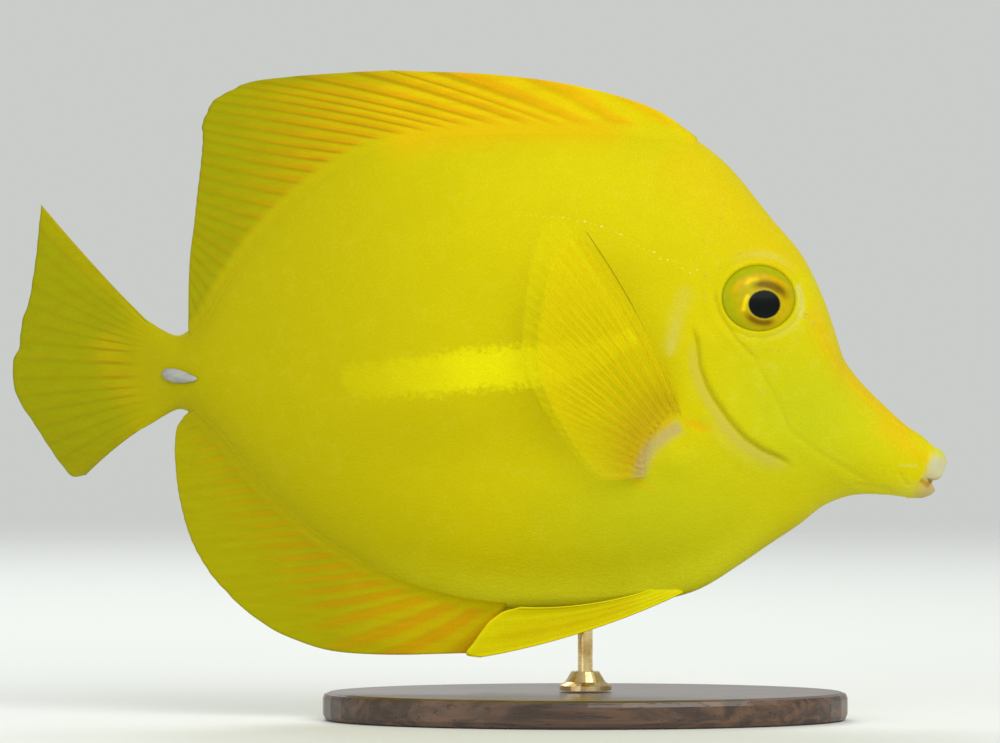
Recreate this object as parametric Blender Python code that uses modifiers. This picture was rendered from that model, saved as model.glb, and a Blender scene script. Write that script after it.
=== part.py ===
"""A yellow tang, life size, held level on a plain display stand.

Run it with blender --background --python part.py, or from the text editor.

The fish faces +X, with its right side towards -Y, and its tail swings a little towards +Y. Flesh outlines
are measured from the body axis, a level line through the middle of the tail stalk, AXIS_HEIGHT above the
floor. X is 0 under the middle of the fish's whole length. All sizes are in metres.
"""

import math

import bmesh
import bpy
from mathutils import Matrix, Vector

# The whole fish and its stand
AXIS_HEIGHT = 0.0555
GAP = 0.0003  # what separates two pieces that touch
SWAY_FROM_X = 0.004  # the tail swings aside behind this station
SWAY_TO_X = -0.0753
SWAY_ASIDE = 0.0090

# Flesh outlines in side view, tail to snout: station along X, and height over the body axis
BACK_LINE = (
    (-0.0526, 0.0081), (-0.0508, 0.0069), (-0.0482, 0.0061), (-0.0457, 0.0077), (-0.0411, 0.0149),
    (-0.0363, 0.0216), (-0.0290, 0.0290), (-0.0198, 0.0352), (-0.0070, 0.0384), (0.0100, 0.0391),
    (0.0270, 0.0385), (0.0350, 0.0371), (0.0389, 0.0341), (0.0466, 0.0250), (0.0533, 0.0160),
    (0.0570, 0.0074), (0.0606, -0.0011), (0.0643, -0.0050), (0.0714, -0.0102), (0.0722, -0.0112),
    (0.0729, -0.0119),
)
BELLY_LINE = (
    (-0.0526, -0.0081), (-0.0508, -0.0070), (-0.0480, -0.0058), (-0.0432, -0.0093), (-0.0368, -0.0168),
    (-0.0299, -0.0237), (-0.0206, -0.0301), (-0.0110, -0.0345), (0.0002, -0.0372), (0.0140, -0.0376),
    (0.0274, -0.0366), (0.0354, -0.0347), (0.0443, -0.0285), (0.0494, -0.0251), (0.0523, -0.0234),
    (0.0550, -0.0213), (0.0587, -0.0198), (0.0654, -0.0195), (0.0698, -0.0200), (0.0712, -0.0199),
    (0.0719, -0.0195), (0.0723, -0.0184), (0.0726, -0.0170), (0.0729, -0.0160),
)
# Height at which each section is widest, and half its width there
WIDEST_LINE = (
    (-0.0526, 0.0), (-0.0460, 0.0), (-0.0220, 0.0013), (0.0030, 0.0030), (0.0250, 0.0037),
    (0.0380, 0.0033), (0.0450, 0.0012), (0.0510, -0.0030), (0.0578, -0.0100), (0.0626, -0.0125),
    (0.0674, -0.0143), (0.0729, -0.0147),
)
HALF_WIDTHS = (
    (-0.0526, 0.0012), (-0.0502, 0.0019), (-0.0462, 0.0026), (-0.0414, 0.0032), (-0.0334, 0.0044),
    (-0.0222, 0.0062), (-0.0094, 0.0080), (0.0034, 0.0091), (0.0162, 0.0096), (0.0258, 0.0096),
    (0.0338, 0.0092), (0.0386, 0.0086), (0.0450, 0.0076), (0.0514, 0.0062), (0.0578, 0.0047),
    (0.0626, 0.0038), (0.0674, 0.0030), (0.0704, 0.0023), (0.0722, 0.0015), (0.0729, 0.0008),
)
KEEL = 1.25  # over 1 the sections come to an edge at the back and belly, as a lens does
TRUNK_STATIONS = 28
HEAD_STATIONS = 27
NOSE_CROWD = 1.25  # over 1 the stations stand closer towards the nose
RING = 24  # points round one section
HEAD_FROM_X = 0.0330

# The gill opening, which parts head from trunk: height over the axis, and station
GILL_LINE = (
    (-0.0450, 0.0560), (-0.0226, 0.0540), (-0.0203, 0.0532), (-0.0152, 0.0506), (-0.0133, 0.0476),
    (-0.0110, 0.0434), (-0.0077, 0.0396), (-0.0032, 0.0367), (0.0016, 0.0349), (0.0077, 0.0340),
    (0.0165, 0.0341), (0.0277, 0.0350), (0.0368, 0.0362), (0.0450, 0.0370),
)
GILL_RISE = 0.0006  # how far the gill cover's rear edge stands over the trunk
GILL_FADE = 0.0070
GILL_MIDDLE = -0.0015
GILL_REACH = 0.0190
STALK_X = -0.0430  # the tail stalk is parted from the trunk here

# Eyes, nostrils and lips
EYE_PLACE = (0.0445, 0.0119)
EYE_HALF_LENGTH, EYE_HALF_HEIGHT, EYE_HALF_THICKNESS = 0.0063, 0.0056, 0.0022
EYE_DEPTH = 0.0010  # how deep the middle of the eye lies under the skin
RIM_THICKNESS = 0.0006
NOSTRILS = ((0.0521, 0.0090, 0.00050), (0.0534, 0.0080, 0.00040))
NOSTRIL_DEPTH = 0.0009
LIP_BACK_X = 0.0698
LIP_THICKNESS = 0.00085  # half
LIP_CORNER = 0.36  # how thick a lip is at the corner of the mouth, as a share of its front
UPPER_LIP = {
    "front": 0.0740, "half_span": 0.0025, "height": -0.0146, "half_height": 0.00235, "drop": 0.0014,
}
LOWER_LIP = {
    "front": 0.0721, "half_span": 0.0024, "height": -0.0187, "half_height": 0.00080, "drop": -0.0008,
}
LIP_STEPS = 12
MOUTH_SLIT = ((0.0700, -0.0169), (0.0760, -0.0166), (0.0760, -0.0200))

# Fin rays: half the thickness of a ray, and of the web between rays, at the root and at the tip
RAY_ROOT, RAY_TIP = 0.00075, 0.00034
WEB_ROOT, WEB_TIP = 0.00045, 0.00026
RAY_FOOT = 0.30  # a ray's half width, as a share of the spacing of the rays
RAY_RISE = 0.12  # the share of its length over which a ray rises out of the web, from its root
FIN_SINK = 0.0018  # how far a fin runs into the flesh before it is trimmed off

# Each row is a ray: the station of its root on the back or belly line, its tip's station and height, and
# its bow, which is how far the middle of the ray stands off a straight line, upwards
DORSAL_RAYS = 30
DORSAL_CROWD = 0.40  # how much closer the rays stand at the rear than at the front
DORSAL_ROWS = (
    (0.0366, 0.0347, 0.0379, 0.0000), (0.0338, 0.0282, 0.0421, 0.0001),
    (0.0302, 0.0178, 0.0453, 0.0002), (0.0258, 0.0034, 0.0475, 0.0003),
    (0.0218, -0.0094, 0.0481, 0.0004), (0.0149, -0.0182, 0.0482, 0.0006),
    (0.0106, -0.0282, 0.0477, 0.0007), (0.0061, -0.0357, 0.0469, 0.0007),
    (-0.0002, -0.0398, 0.0454, 0.0006), (-0.0051, -0.0426, 0.0438, 0.0005),
    (-0.0102, -0.0437, 0.0419, 0.0000), (-0.0142, -0.0445, 0.0403, -0.0004),
    (-0.0187, -0.0442, 0.0384, -0.0005), (-0.0251, -0.0444, 0.0339, -0.0003),
    (-0.0309, -0.0451, 0.0286, -0.0002), (-0.0363, -0.0458, 0.0238, -0.0001),
    (-0.0411, -0.0465, 0.0179, 0.0000), (-0.0458, -0.0466, 0.0093, 0.0000),
)
ANAL_RAYS = 23
ANAL_CROWD = 0.30
ANAL_ROWS = (
    (0.0059, -0.0014, -0.0445, 0.0000), (0.0026, -0.0134, -0.0448, -0.0010),
    (-0.0006, -0.0230, -0.0445, -0.0010), (-0.0046, -0.0323, -0.0416, -0.0005),
    (-0.0086, -0.0376, -0.0376, -0.0007), (-0.0126, -0.0408, -0.0352, -0.0005),
    (-0.0162, -0.0424, -0.0333, -0.0006), (-0.0194, -0.0437, -0.0309, -0.0004),
    (-0.0222, -0.0446, -0.0288, 0.0000), (-0.0278, -0.0462, -0.0250, 0.0000),
    (-0.0354, -0.0478, -0.0173, 0.0000), (-0.0384, -0.0484, -0.0136, 0.0000),
    (-0.0414, -0.0486, -0.0102, 0.0000), (-0.0446, -0.0478, -0.0070, 0.0000),
)
# The tail fin's rays: height of the root on the flesh's rear face, station and height of the tip, and bow
CAUDAL_RAYS = 17
CAUDAL_CURL = 0.0045  # how far the lowest ray's tip turns aside, past the swing of the whole tail
CAUDAL_ROWS = (
    (0.0080, -0.0709, 0.0274, -0.0013), (0.0072, -0.0711, 0.0235, -0.0011),
    (0.0064, -0.0715, 0.0195, -0.0009), (0.0056, -0.0721, 0.0154, -0.0006),
    (0.0048, -0.0727, 0.0112, -0.0004), (0.0038, -0.0740, 0.0064, -0.0002),
    (0.0026, -0.0742, 0.0037, 0.0000), (0.0013, -0.0751, 0.0021, 0.0000),
    (-0.0003, -0.0753, -0.0006, 0.0000), (-0.0022, -0.0743, -0.0043, 0.0001),
    (-0.0038, -0.0718, -0.0082, 0.0002), (-0.0052, -0.0694, -0.0121, 0.0003),
    (-0.0066, -0.0669, -0.0160, 0.0004), (-0.0080, -0.0641, -0.0168, 0.0004),
)
PECTORAL_RAYS = 15
PECTORAL_ROOTS = (
    (0.0327, -0.0087), (0.0301, -0.0103), (0.0278, -0.0121), (0.0267, -0.0141), (0.0260, -0.0166),
)
PECTORAL_TIPS = (
    (0.0165, 0.0228), (0.0144, 0.0242), (0.0124, 0.0249), (0.0107, 0.0238), (0.0095, 0.0219),
    (0.0085, 0.0189), (0.0073, 0.0119), (0.0069, 0.0040), (0.0077, 0.0001), (0.0093, -0.0042),
    (0.0117, -0.0082), (0.0144, -0.0121), (0.0168, -0.0149), (0.0192, -0.0170),
)
PECTORAL_BOW = 0.0010  # of the leading edge
PECTORAL_LIFT = 0.0007  # how far the root stands off the skin before the rays turn back
PECTORAL_FLARE = 0.0085  # how far the tip of the first ray stands off the root
PELVIC_RAYS = 6
PELVIC_ROOTS = ((0.0326, -0.0350), (0.0300, -0.0338))
PELVIC_TIPS = (
    (0.0002, -0.0453), (-0.0020, -0.0449), (-0.0003, -0.0421), (0.0014, -0.0398), (0.0034, -0.0382),
    (0.0066, -0.0372),
)
PELVIC_BOW = -0.0015
PELVIC_ASIDE_ROOT = 0.0013  # from the fish's middle plane
PELVIC_ASIDE_TIP = 0.0044
PELVIC_TILT = 0.0008  # how much further aside the last ray lies

# The blade on each side of the tail stalk
BLADE_FROM_X = -0.0512
BLADE_LENGTH = 0.0066
BLADE_HEIGHT = -0.0003  # of its blunt end
BLADE_DROP = 0.0008  # how much lower its point lies
BLADE_HALF_HEIGHT = 0.0017
BLADE_HALF_THICKNESS = 0.0010
BLADE_TAPER = 0.55

# The stand
BASE_LENGTH, BASE_WIDTH, BASE_THICKNESS = 0.084, 0.052, 0.0045
BASE_BEVEL = 0.0010
ROD_X = 0.0170
ROD_RADIUS = 0.0012
COLLAR_RADIUS, COLLAR_HEIGHT, COLLAR_LIP = 0.0042, 0.0030, 0.0010
COLLAR_WALL = 0.0007  # at its top edge


def through(points):
    """A smooth function of one number that passes through the (where, value) points."""
    points = sorted(points)
    places = [point[0] for point in points]
    values = [point[1] for point in points]
    steps = [b - a for a, b in zip(places, places[1:])]
    grades = [(b - a) / step for a, b, step in zip(values, values[1:], steps)]
    slopes = [grades[0]]
    for before, after, step_before, step_after in zip(grades, grades[1:], steps, steps[1:]):
        slopes.append((before * step_after + after * step_before) / (step_before + step_after))
    slopes.append(grades[-1])

    def value(where):
        where = min(max(where, places[0]), places[-1])
        span = max(i for i in range(len(steps)) if i == 0 or places[i] <= where)
        step = steps[span]
        t = (where - places[span]) / step
        return (
            values[span] * (1 + 2 * t) * (1 - t) ** 2
            + slopes[span] * step * t * (1 - t) ** 2
            + values[span + 1] * t * t * (3 - 2 * t)
            + slopes[span + 1] * step * t * t * (t - 1)
        )

    return value


def along(points, rows=None):
    """A smooth function of a share from 0 to 1 of the way along a line of points.

    It gives the place on the line or, where there is a row of numbers for each point, those numbers there.
    """
    walked = [0.0]
    for a, b in zip(points, points[1:]):
        walked.append(walked[-1] + math.dist(a, b))
    shares = [distance / walked[-1] for distance in walked]
    axes = [through(list(zip(shares, axis))) for axis in zip(*(rows or points))]
    return lambda share: Vector([axis(share) for axis in axes])


def blend(a, b, share):
    return a + (b - a) * share


back_height = through(BACK_LINE)
belly_height = through(BELLY_LINE)
widest_height = through(WIDEST_LINE)
widest_half = through(HALF_WIDTHS)
gill_station = through(GILL_LINE)
TAIL_END, NOSE_END = BACK_LINE[0][0], BACK_LINE[-1][0]


def sway(x):
    """How far the body's middle plane has swung towards +Y at this station."""
    share = max(0.0, (SWAY_FROM_X - x) / (SWAY_FROM_X - SWAY_TO_X))
    return SWAY_ASIDE * share * share


def place(x, y, z):
    """A point of the straight fish, measured from its axis, put where it stands in the model."""
    return Vector((x, y + sway(x), z + AXIS_HEIGHT))


def section(x, grow=0.0):
    """Top, bottom, widest height and half width of the flesh at x, moved out square to it by grow."""
    x = min(max(x, TAIL_END), NOSE_END)
    step = 0.0002
    back_grade = (back_height(x + step) - back_height(x - step)) / (2 * step)
    belly_grade = (belly_height(x + step) - belly_height(x - step)) / (2 * step)
    top = back_height(x) + grow * math.hypot(1, back_grade)
    bottom = belly_height(x) - grow * math.hypot(1, belly_grade)
    return top, bottom, widest_height(x), widest_half(x) + grow


def half_width(x, z):
    """Half the flesh's width at a place of the side view."""
    top, bottom, middle, width = section(x)
    reach = top - middle if z > middle else middle - bottom
    share = min(abs(z - middle) / reach, 1.0)
    return width * (1 - share * share) ** (KEEL / 2)


def gill_swell(x, z):
    """How much the gill cover fills out the head, most at its rear edge."""
    ahead = (x - gill_station(z)) / GILL_FADE
    window = max(0.0, 1 - ((z - GILL_MIDDLE) / GILL_REACH) ** 2)
    return GILL_RISE * math.exp(-ahead * ahead) * math.sqrt(window)


def skin(x, z, side):
    """The place on the skin, on the side where Y is positive for side 1, and the way out from it there."""
    step = 0.0008
    outward = Vector((
        -(half_width(x + step, z) - half_width(x - step, z)) / (2 * step),
        side,
        -(half_width(x, z + step) - half_width(x, z - step)) / (2 * step),
    ))
    return place(x, side * half_width(x, z), z), outward.normalized()


# The two collections: the pieces that show, and what only cuts or trims them
bpy.ops.object.select_all(action="DESELECT")
for old in list(bpy.data.objects):
    bpy.data.objects.remove(old)
fish = bpy.data.collections.new("yellow_tang")
cutters = bpy.data.collections.new("cutters")
for collection in (fish, cutters):
    bpy.context.scene.collection.children.link(collection)


def material(name, colour, roughness, metallic=0.0):
    made = bpy.data.materials.new(name)
    made.use_nodes = True
    shader = made.node_tree.nodes["Principled BSDF"]
    shader.inputs["Base Color"].default_value = (*colour, 1)
    shader.inputs["Roughness"].default_value = roughness
    shader.inputs["Metallic"].default_value = metallic
    made.diffuse_color = (*colour, 1)
    return made


SKIN = material("skin", (0.80, 0.70, 0.02), 0.45)
FIN = material("fin", (0.82, 0.60, 0.02), 0.45)
LIP = material("lip", (0.80, 0.62, 0.40), 0.40)
EYE = material("eye", (0.28, 0.22, 0.02), 0.15)
BLADE = material("blade", (0.80, 0.78, 0.74), 0.35)
WOOD = material("wood", (0.10, 0.055, 0.030), 0.40)
BRASS = material("brass", (0.72, 0.55, 0.26), 0.25, 1.0)


def mesh_object(name, mesh, finish=None):
    """Links a mesh as a piece with a finish, or as a cutter without one."""
    made = bpy.data.objects.new(name, mesh)
    if finish:
        fish.objects.link(made)
        mesh.materials.append(finish)
    else:
        cutters.objects.link(made)
        made.hide_render = True
        made.display_type = "WIRE"
    return made


def mesh_from(work):
    """A mesh made of a closed bmesh, faces out. The bmesh is then freed."""
    mesh = bpy.data.meshes.new("shape")
    bmesh.ops.recalc_face_normals(work, faces=work.faces)
    if work.calc_volume(signed=True) < 0:
        bmesh.ops.reverse_faces(work, faces=work.faces)
    work.to_mesh(mesh)
    work.free()
    return mesh


def mesh_of(points, faces):
    """A closed mesh of these points and faces, faces out."""
    work = bmesh.new()
    verts = [work.verts.new(point) for point in points]
    for face in faces:
        work.faces.new([verts[i] for i in face])
    return mesh_from(work)


def shade(obj, angle=35):
    obj.data.shade_smooth()
    obj.data.set_sharp_from_angle(angle=math.radians(angle))


def keep_largest(obj):
    """Drops every closed surface of the object but the one that holds most."""
    work = bmesh.new()
    work.from_mesh(obj.data)
    shells = []
    left = set(work.faces)
    while left:
        reached = [left.pop()]
        for face in reached:
            near = {other for edge in face.edges for other in edge.link_faces} & left
            left -= near
            reached.extend(near)
        shells.append(reached)

    def volume(faces):
        total = 0.0
        for face in faces:
            first, *rest = [vert.co for vert in face.verts]
            total += sum(first.dot(b.cross(c)) for b, c in zip(rest, rest[1:]))
        return total / 6

    shells.sort(key=volume, reverse=True)
    scraps = [face for shell in shells[1:] for face in shell]
    bmesh.ops.delete(work, geom=scraps, context="FACES")
    work.to_mesh(obj.data)
    work.free()


def combine(obj, operation, other, solver="EXACT"):
    """Cuts, trims or joins the object by another, which stays as it is."""
    modifier = obj.modifiers.new(operation.lower(), "BOOLEAN")
    modifier.operation = operation
    modifier.object = other
    modifier.solver = solver
    seen = obj.evaluated_get(bpy.context.evaluated_depsgraph_get())
    mesh = bpy.data.meshes.new_from_object(seen)
    obj.modifiers.clear()
    obj.data = mesh
    keep_largest(obj)


def tidy(obj):
    """Joins points that a cut left almost on one another, as far as the surface stays closed."""
    for reach in (0.000020, 0.000010, 0.000005, 0.000002):
        work = bmesh.new()
        work.from_mesh(obj.data)
        bmesh.ops.remove_doubles(work, verts=work.verts, dist=reach)
        bmesh.ops.dissolve_degenerate(work, edges=work.edges, dist=reach)
        closed = all(edge.is_manifold for edge in work.edges)
        if closed:
            work.to_mesh(obj.data)
        work.free()
        if closed:
            return


def flesh(name, grow=0.0, gills=False, finish=None):
    """The whole body without its fins, as rings of points at stations from the tail to the nose."""
    stations = [blend(TAIL_END, HEAD_FROM_X, i / TRUNK_STATIONS) for i in range(TRUNK_STATIONS)]
    left = [(1 - i / HEAD_STATIONS) ** NOSE_CROWD for i in range(HEAD_STATIONS + 1)]
    stations += [blend(NOSE_END, HEAD_FROM_X, share) for share in left]
    points = []
    for x in stations:
        top, bottom, middle, width = section(x, grow)
        pushed = x - grow if x == TAIL_END else x + grow if x == NOSE_END else x
        for step in range(RING):
            turn = math.tau * step / RING
            rise, out = math.sin(turn), math.cos(turn)
            z = middle + rise * (top - middle if rise > 0 else middle - bottom)
            y = math.copysign(width * abs(out) ** KEEL, out)
            if gills and abs(out) > 0.01:
                y += math.copysign(gill_swell(x, z), out)
            points.append(place(pushed, y, z))
    faces = [tuple(range(RING)), tuple(reversed(range(len(points) - RING, len(points))))]
    for ring in range(len(stations) - 1):
        for step in range(RING):
            a, b = ring * RING + step, ring * RING + (step + 1) % RING
            faces.append((a, a + RING, b + RING, b))
    return mesh_object(name, mesh_of(points, faces), finish)


def prism(name, outline):
    """A cutter with this outline in side view, drawn out across the whole fish."""
    reach = 0.040
    count = len(outline)
    points = [Vector((x, y, z + AXIS_HEIGHT)) for y in (-reach, reach) for x, z in outline]
    faces = [range(count), range(count, 2 * count)]
    for i in range(count):
        j = (i + 1) % count
        faces.append((i, j, count + j, count + i))
    return mesh_object(name, mesh_of(points, faces))


def gill_edge(shift):
    """The gill opening's line from the nape to the throat, moved square to itself by shift along X."""
    low, high = GILL_LINE[0][0], GILL_LINE[-1][0]
    steps = 30
    edge = []
    for i in range(steps + 1):
        z = blend(high, low, i / steps)
        grade = (gill_station(z + 0.0003) - gill_station(z - 0.0003)) / 0.0006
        edge.append((gill_station(z) + shift * math.hypot(1, grade), z))
    return edge


def disc_matrix(x, z, side, depth):
    """Stands a shape whose own Z is its axis on the skin, with its middle this deep under it."""
    spot, outward = skin(x, z, side)
    turn = outward.to_track_quat("Z", "Y").to_matrix().to_4x4()
    return Matrix.Translation(spot - outward * depth) @ turn


def eyeball(name, side, grow=0.0, finish=None):
    work = bmesh.new()
    bmesh.ops.create_uvsphere(work, u_segments=20, v_segments=8, radius=1)
    halves = (EYE_HALF_LENGTH, EYE_HALF_HEIGHT, EYE_HALF_THICKNESS)
    size = Matrix.Diagonal([half + grow for half in halves] + [1])
    work.transform(disc_matrix(*EYE_PLACE, side, EYE_DEPTH) @ size)
    return mesh_object(name, mesh_from(work), finish)


def eye_rim(side):
    """The low fold of skin round the eye, later joined to the head."""
    bpy.ops.mesh.primitive_torus_add(
        major_segments=24, minor_segments=6, major_radius=EYE_HALF_HEIGHT, minor_radius=RIM_THICKNESS
    )
    ring = bpy.context.object
    mesh = ring.data
    bpy.data.objects.remove(ring)
    stretch = Matrix.Diagonal((EYE_HALF_LENGTH / EYE_HALF_HEIGHT, 1, 1, 1))
    mesh.transform(disc_matrix(*EYE_PLACE, side, RIM_THICKNESS * 0.7) @ stretch)
    return mesh_object("eye_rim", mesh)


def nostril(x, z, radius, side):
    work = bmesh.new()
    bmesh.ops.create_cone(
        work, cap_ends=True, segments=8, radius1=radius * 0.5, radius2=radius, depth=2 * NOSTRIL_DEPTH
    )
    work.transform(disc_matrix(x, z, side, 0))
    return mesh_object("nostril", mesh_from(work))


def lip(name, front, half_span, height, half_height, drop):
    """A horseshoe of lip round the tip of the snout, thinner towards the corners of the mouth."""
    curve = bpy.data.curves.new(name, "CURVE")
    curve.dimensions = "3D"
    curve.bevel_depth = LIP_THICKNESS
    curve.bevel_resolution = 2
    curve.use_fill_caps = True
    spline = curve.splines.new("POLY")
    spline.points.add(LIP_STEPS)
    for i, point in enumerate(spline.points):
        turn = math.pi * i / LIP_STEPS
        reach = math.sin(turn)
        low = -drop * (1 - reach) * LIP_THICKNESS / half_height
        point.co = (LIP_BACK_X + (front - LIP_BACK_X) * reach, half_span * math.cos(turn), low, 1)
        point.radius = blend(LIP_CORNER, 1, reach)
    guide = bpy.data.objects.new(name, curve)
    cutters.objects.link(guide)
    seen = guide.evaluated_get(bpy.context.evaluated_depsgraph_get())
    mesh = bpy.data.meshes.new_from_object(seen)
    bpy.data.objects.remove(guide)
    work = bmesh.new()
    work.from_mesh(mesh)
    bmesh.ops.remove_doubles(work, verts=work.verts, dist=0.00001)
    work.transform(Matrix.Diagonal((1, 1, half_height / LIP_THICKNESS, 1)))
    work.transform(Matrix.Translation((0, 0, height + AXIS_HEIGHT)))
    made = mesh_object(name, mesh_from(work), LIP)
    combine(made, "DIFFERENCE", near_flesh)
    return made


def ray_sheet(path, rays, rows):
    """A fin as one closed sheet, with its rays as ridges in both faces.

    path gives the sheet's middle at a share across the rays and a share from root to tip.
    """
    columns = []
    for ray in range(rays):
        for offset in (-RAY_FOOT, 0, RAY_FOOT):
            if 0 <= ray + offset <= rays - 1:
                columns.append(((ray + offset) / (rays - 1), offset == 0))
    step = 0.002
    points = {1: [], -1: []}
    for across, on_ray in columns:
        for row in range(rows + 1):
            out = row / rows
            left, right = path(max(across - step, 0), out), path(min(across + step, 1), out)
            inner, outer = path(across, max(out - step, 0)), path(across, min(out + step, 1))
            square = (right - left).cross(outer - inner).normalized()
            half = blend(WEB_ROOT, WEB_TIP, out)
            if on_ray:
                half = blend(half, blend(RAY_ROOT, RAY_TIP, out), min(out / RAY_RISE, 1))
            for face in points:
                points[face].append(path(across, out) + square * half * face)
    high, last = rows + 1, len(columns) - 1
    below = len(points[1])
    faces = []
    for column in range(last):
        for row in range(rows):
            a = column * high + row
            b = a + high
            faces += [(a, b, b + 1), (a, b + 1, a + 1)]
    faces += [tuple(below + i for i in reversed(face)) for face in faces]
    rim = [column * high for column in range(last)]
    rim += [last * high + row for row in range(rows)]
    rim += [column * high + rows for column in range(last, 0, -1)]
    rim += list(range(rows, 0, -1))
    for a, b in zip(rim, rim[1:] + rim[:1]):
        faces += [(a, a + below, b + below), (a, b + below, b)]
    return mesh_of(points[1] + points[-1], faces)


def trimmed_fin(name, mesh):
    """A fin, cut off where it would run into the flesh."""
    combine(mesh_object(name, mesh, FIN), "DIFFERENCE", near_flesh, "MANIFOLD")


def bowed(root, tip, bow, out):
    """A flat place on a ray whose middle stands off the straight line by bow, upwards."""
    ray = tip - root
    return root + ray * out + Vector((ray.y, -ray.x)).normalized() * bow * 4 * out * (1 - out)


def upright_fin(rays, rows, table, spaced_by, sink=0.0, crowd=0.0, curl=0.0):
    """The mesh of a fin in the fish's middle plane.

    Each row of the table is a ray: x and z of its root, x and z of its tip, and its bow. The rays start
    deeper than the root by sink. They are spaced along the spaced_by points, closer to the last of them
    by crowd, and the last turns aside by curl.
    """
    ray_at = along(spaced_by, table)

    def path(across, out):
        share = across * (1 + crowd * (1 - across))
        root_x, root_z, tip_x, tip_z, bow = ray_at(share)
        root, tip = Vector((root_x, root_z)), Vector((tip_x, tip_z))
        start = root - (tip - root).normalized() * sink
        spot = bowed(start, tip, bow, out)
        return place(spot.x, curl * (share * out) ** 2, spot.y)

    return ray_sheet(path, rays, rows)


def line_fin(name, rays, rows, table, height, crowd):
    """A dorsal or anal fin, whose rays root on the back or belly line."""
    table = [(root_x, height(root_x), *rest) for root_x, *rest in table]
    roots = [row[:2] for row in table]
    trimmed_fin(name, upright_fin(rays, rows, table, roots, FIN_SINK, crowd))


def caudal_fin():
    """The tail fin, which meets the flat rear face of the flesh."""
    table = [(TAIL_END - GAP, *row) for row in CAUDAL_ROWS]
    tips = [row[2:4] for row in table]
    mesh_object("caudal_fin", upright_fin(CAUDAL_RAYS, 6, table, tips, curl=CAUDAL_CURL), FIN)


def pectoral_fin(name, side):
    """A fan that springs from the flank behind the gill opening and spreads up and back."""
    root_at, tip_at = along(PECTORAL_ROOTS), along(PECTORAL_TIPS)
    sunk = 0.125  # the share of a ray that is the short neck coming out of the flank

    def path(across, out):
        root, tip = root_at(across), tip_at(across)
        start = half_width(root.x, root.y)
        if out < sunk:
            lift = blend(-FIN_SINK * 0.7, PECTORAL_LIFT, out / sunk)
            return place(root.x, side * (start + lift), root.y)
        share = (out - sunk) / (1 - sunk)
        spot = bowed(root, tip, PECTORAL_BOW * (1 - across), share)
        flare = blend(PECTORAL_FLARE, PECTORAL_FLARE * 0.55, across)
        return place(spot.x, side * (start + PECTORAL_LIFT + flare * share ** 0.8), spot.y)

    trimmed_fin(name, ray_sheet(path, PECTORAL_RAYS, 8))


def pelvic_fin(name, side):
    """A narrow fin folded back along the belly, its spine lowest."""
    root_at, tip_at = along(PELVIC_ROOTS), along(PELVIC_TIPS)

    def path(across, out):
        spot = bowed(root_at(across), tip_at(across), PELVIC_BOW, out)
        aside = blend(PELVIC_ASIDE_ROOT, PELVIC_ASIDE_TIP, out ** 0.8)
        aside += PELVIC_TILT * across * math.sqrt(out)
        return place(spot.x, side * aside, spot.y)

    trimmed_fin(name, ray_sheet(path, PELVIC_RAYS, 7))


def blade(name, side):
    """The folded blade beside the tail stalk: blunt behind, pointed in front, half sunk in the skin."""
    work = bmesh.new()
    bmesh.ops.create_uvsphere(work, u_segments=12, v_segments=8, radius=1)
    for vert in work.verts:
        forward = (vert.co.x + 1) / 2
        x = BLADE_FROM_X + BLADE_LENGTH * forward
        taper = 1 - BLADE_TAPER * forward
        z = BLADE_HEIGHT - BLADE_DROP * forward + vert.co.z * BLADE_HALF_HEIGHT * taper
        y = half_width(x, BLADE_HEIGHT) + 0.0002 + vert.co.y * side * BLADE_HALF_THICKNESS * taper
        vert.co = place(x, side * y, z)
    made = mesh_object(name, mesh_from(work), BLADE)
    combine(made, "DIFFERENCE", near_flesh)
    return made


def stand():
    """An oval base, and a rod up to the belly between the pelvic fins with a turned collar at its foot."""
    work = bmesh.new()
    bmesh.ops.create_cone(work, cap_ends=True, segments=48, radius1=0.5, radius2=0.5, depth=1)
    work.transform(Matrix.Diagonal((BASE_LENGTH, BASE_WIDTH, BASE_THICKNESS, 1)))
    work.transform(Matrix.Translation((ROD_X, 0, BASE_THICKNESS / 2)))
    base = mesh_object("stand_base", mesh_from(work), WOOD)
    rim = base.modifiers.new("rim", "BEVEL")
    rim.width = BASE_BEVEL
    rim.segments = 2
    rim.limit_method = "ANGLE"
    foot = BASE_THICKNESS + GAP
    top = AXIS_HEIGHT + belly_height(ROD_X) + FIN_SINK
    work = bmesh.new()
    bmesh.ops.create_cone(
        work, cap_ends=True, segments=24, radius1=ROD_RADIUS, radius2=ROD_RADIUS, depth=top - foot
    )
    work.transform(Matrix.Translation((ROD_X, 0, (top + foot) / 2)))
    rod = mesh_object("stand_rod", mesh_from(work), BRASS)
    combine(rod, "DIFFERENCE", near_flesh)
    bore = ROD_RADIUS + GAP
    top_edge = foot + COLLAR_HEIGHT
    profile = (
        (COLLAR_RADIUS - COLLAR_LIP, foot + COLLAR_HEIGHT * 0.45),
        (COLLAR_RADIUS, foot + COLLAR_HEIGHT * 0.25),
        (COLLAR_RADIUS, foot),
        (bore, foot),
        (bore, top_edge),
        (bore + COLLAR_WALL, top_edge),
    )
    mesh = bpy.data.meshes.new("collar_profile")
    count = len(profile)
    mesh.from_pydata([(x, 0, z) for x, z in profile], [(i, (i + 1) % count) for i in range(count)], [])
    collar = mesh_object("stand_collar", mesh, BRASS)
    collar.location.x = ROD_X
    turned = collar.modifiers.new("turned", "SCREW")
    turned.steps = turned.render_steps = 32
    turned.use_merge_vertices = True
    turned.merge_threshold = 0.00005


near_flesh = flesh("near_flesh", grow=GAP)
far = 0.1000  # past everything

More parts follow.
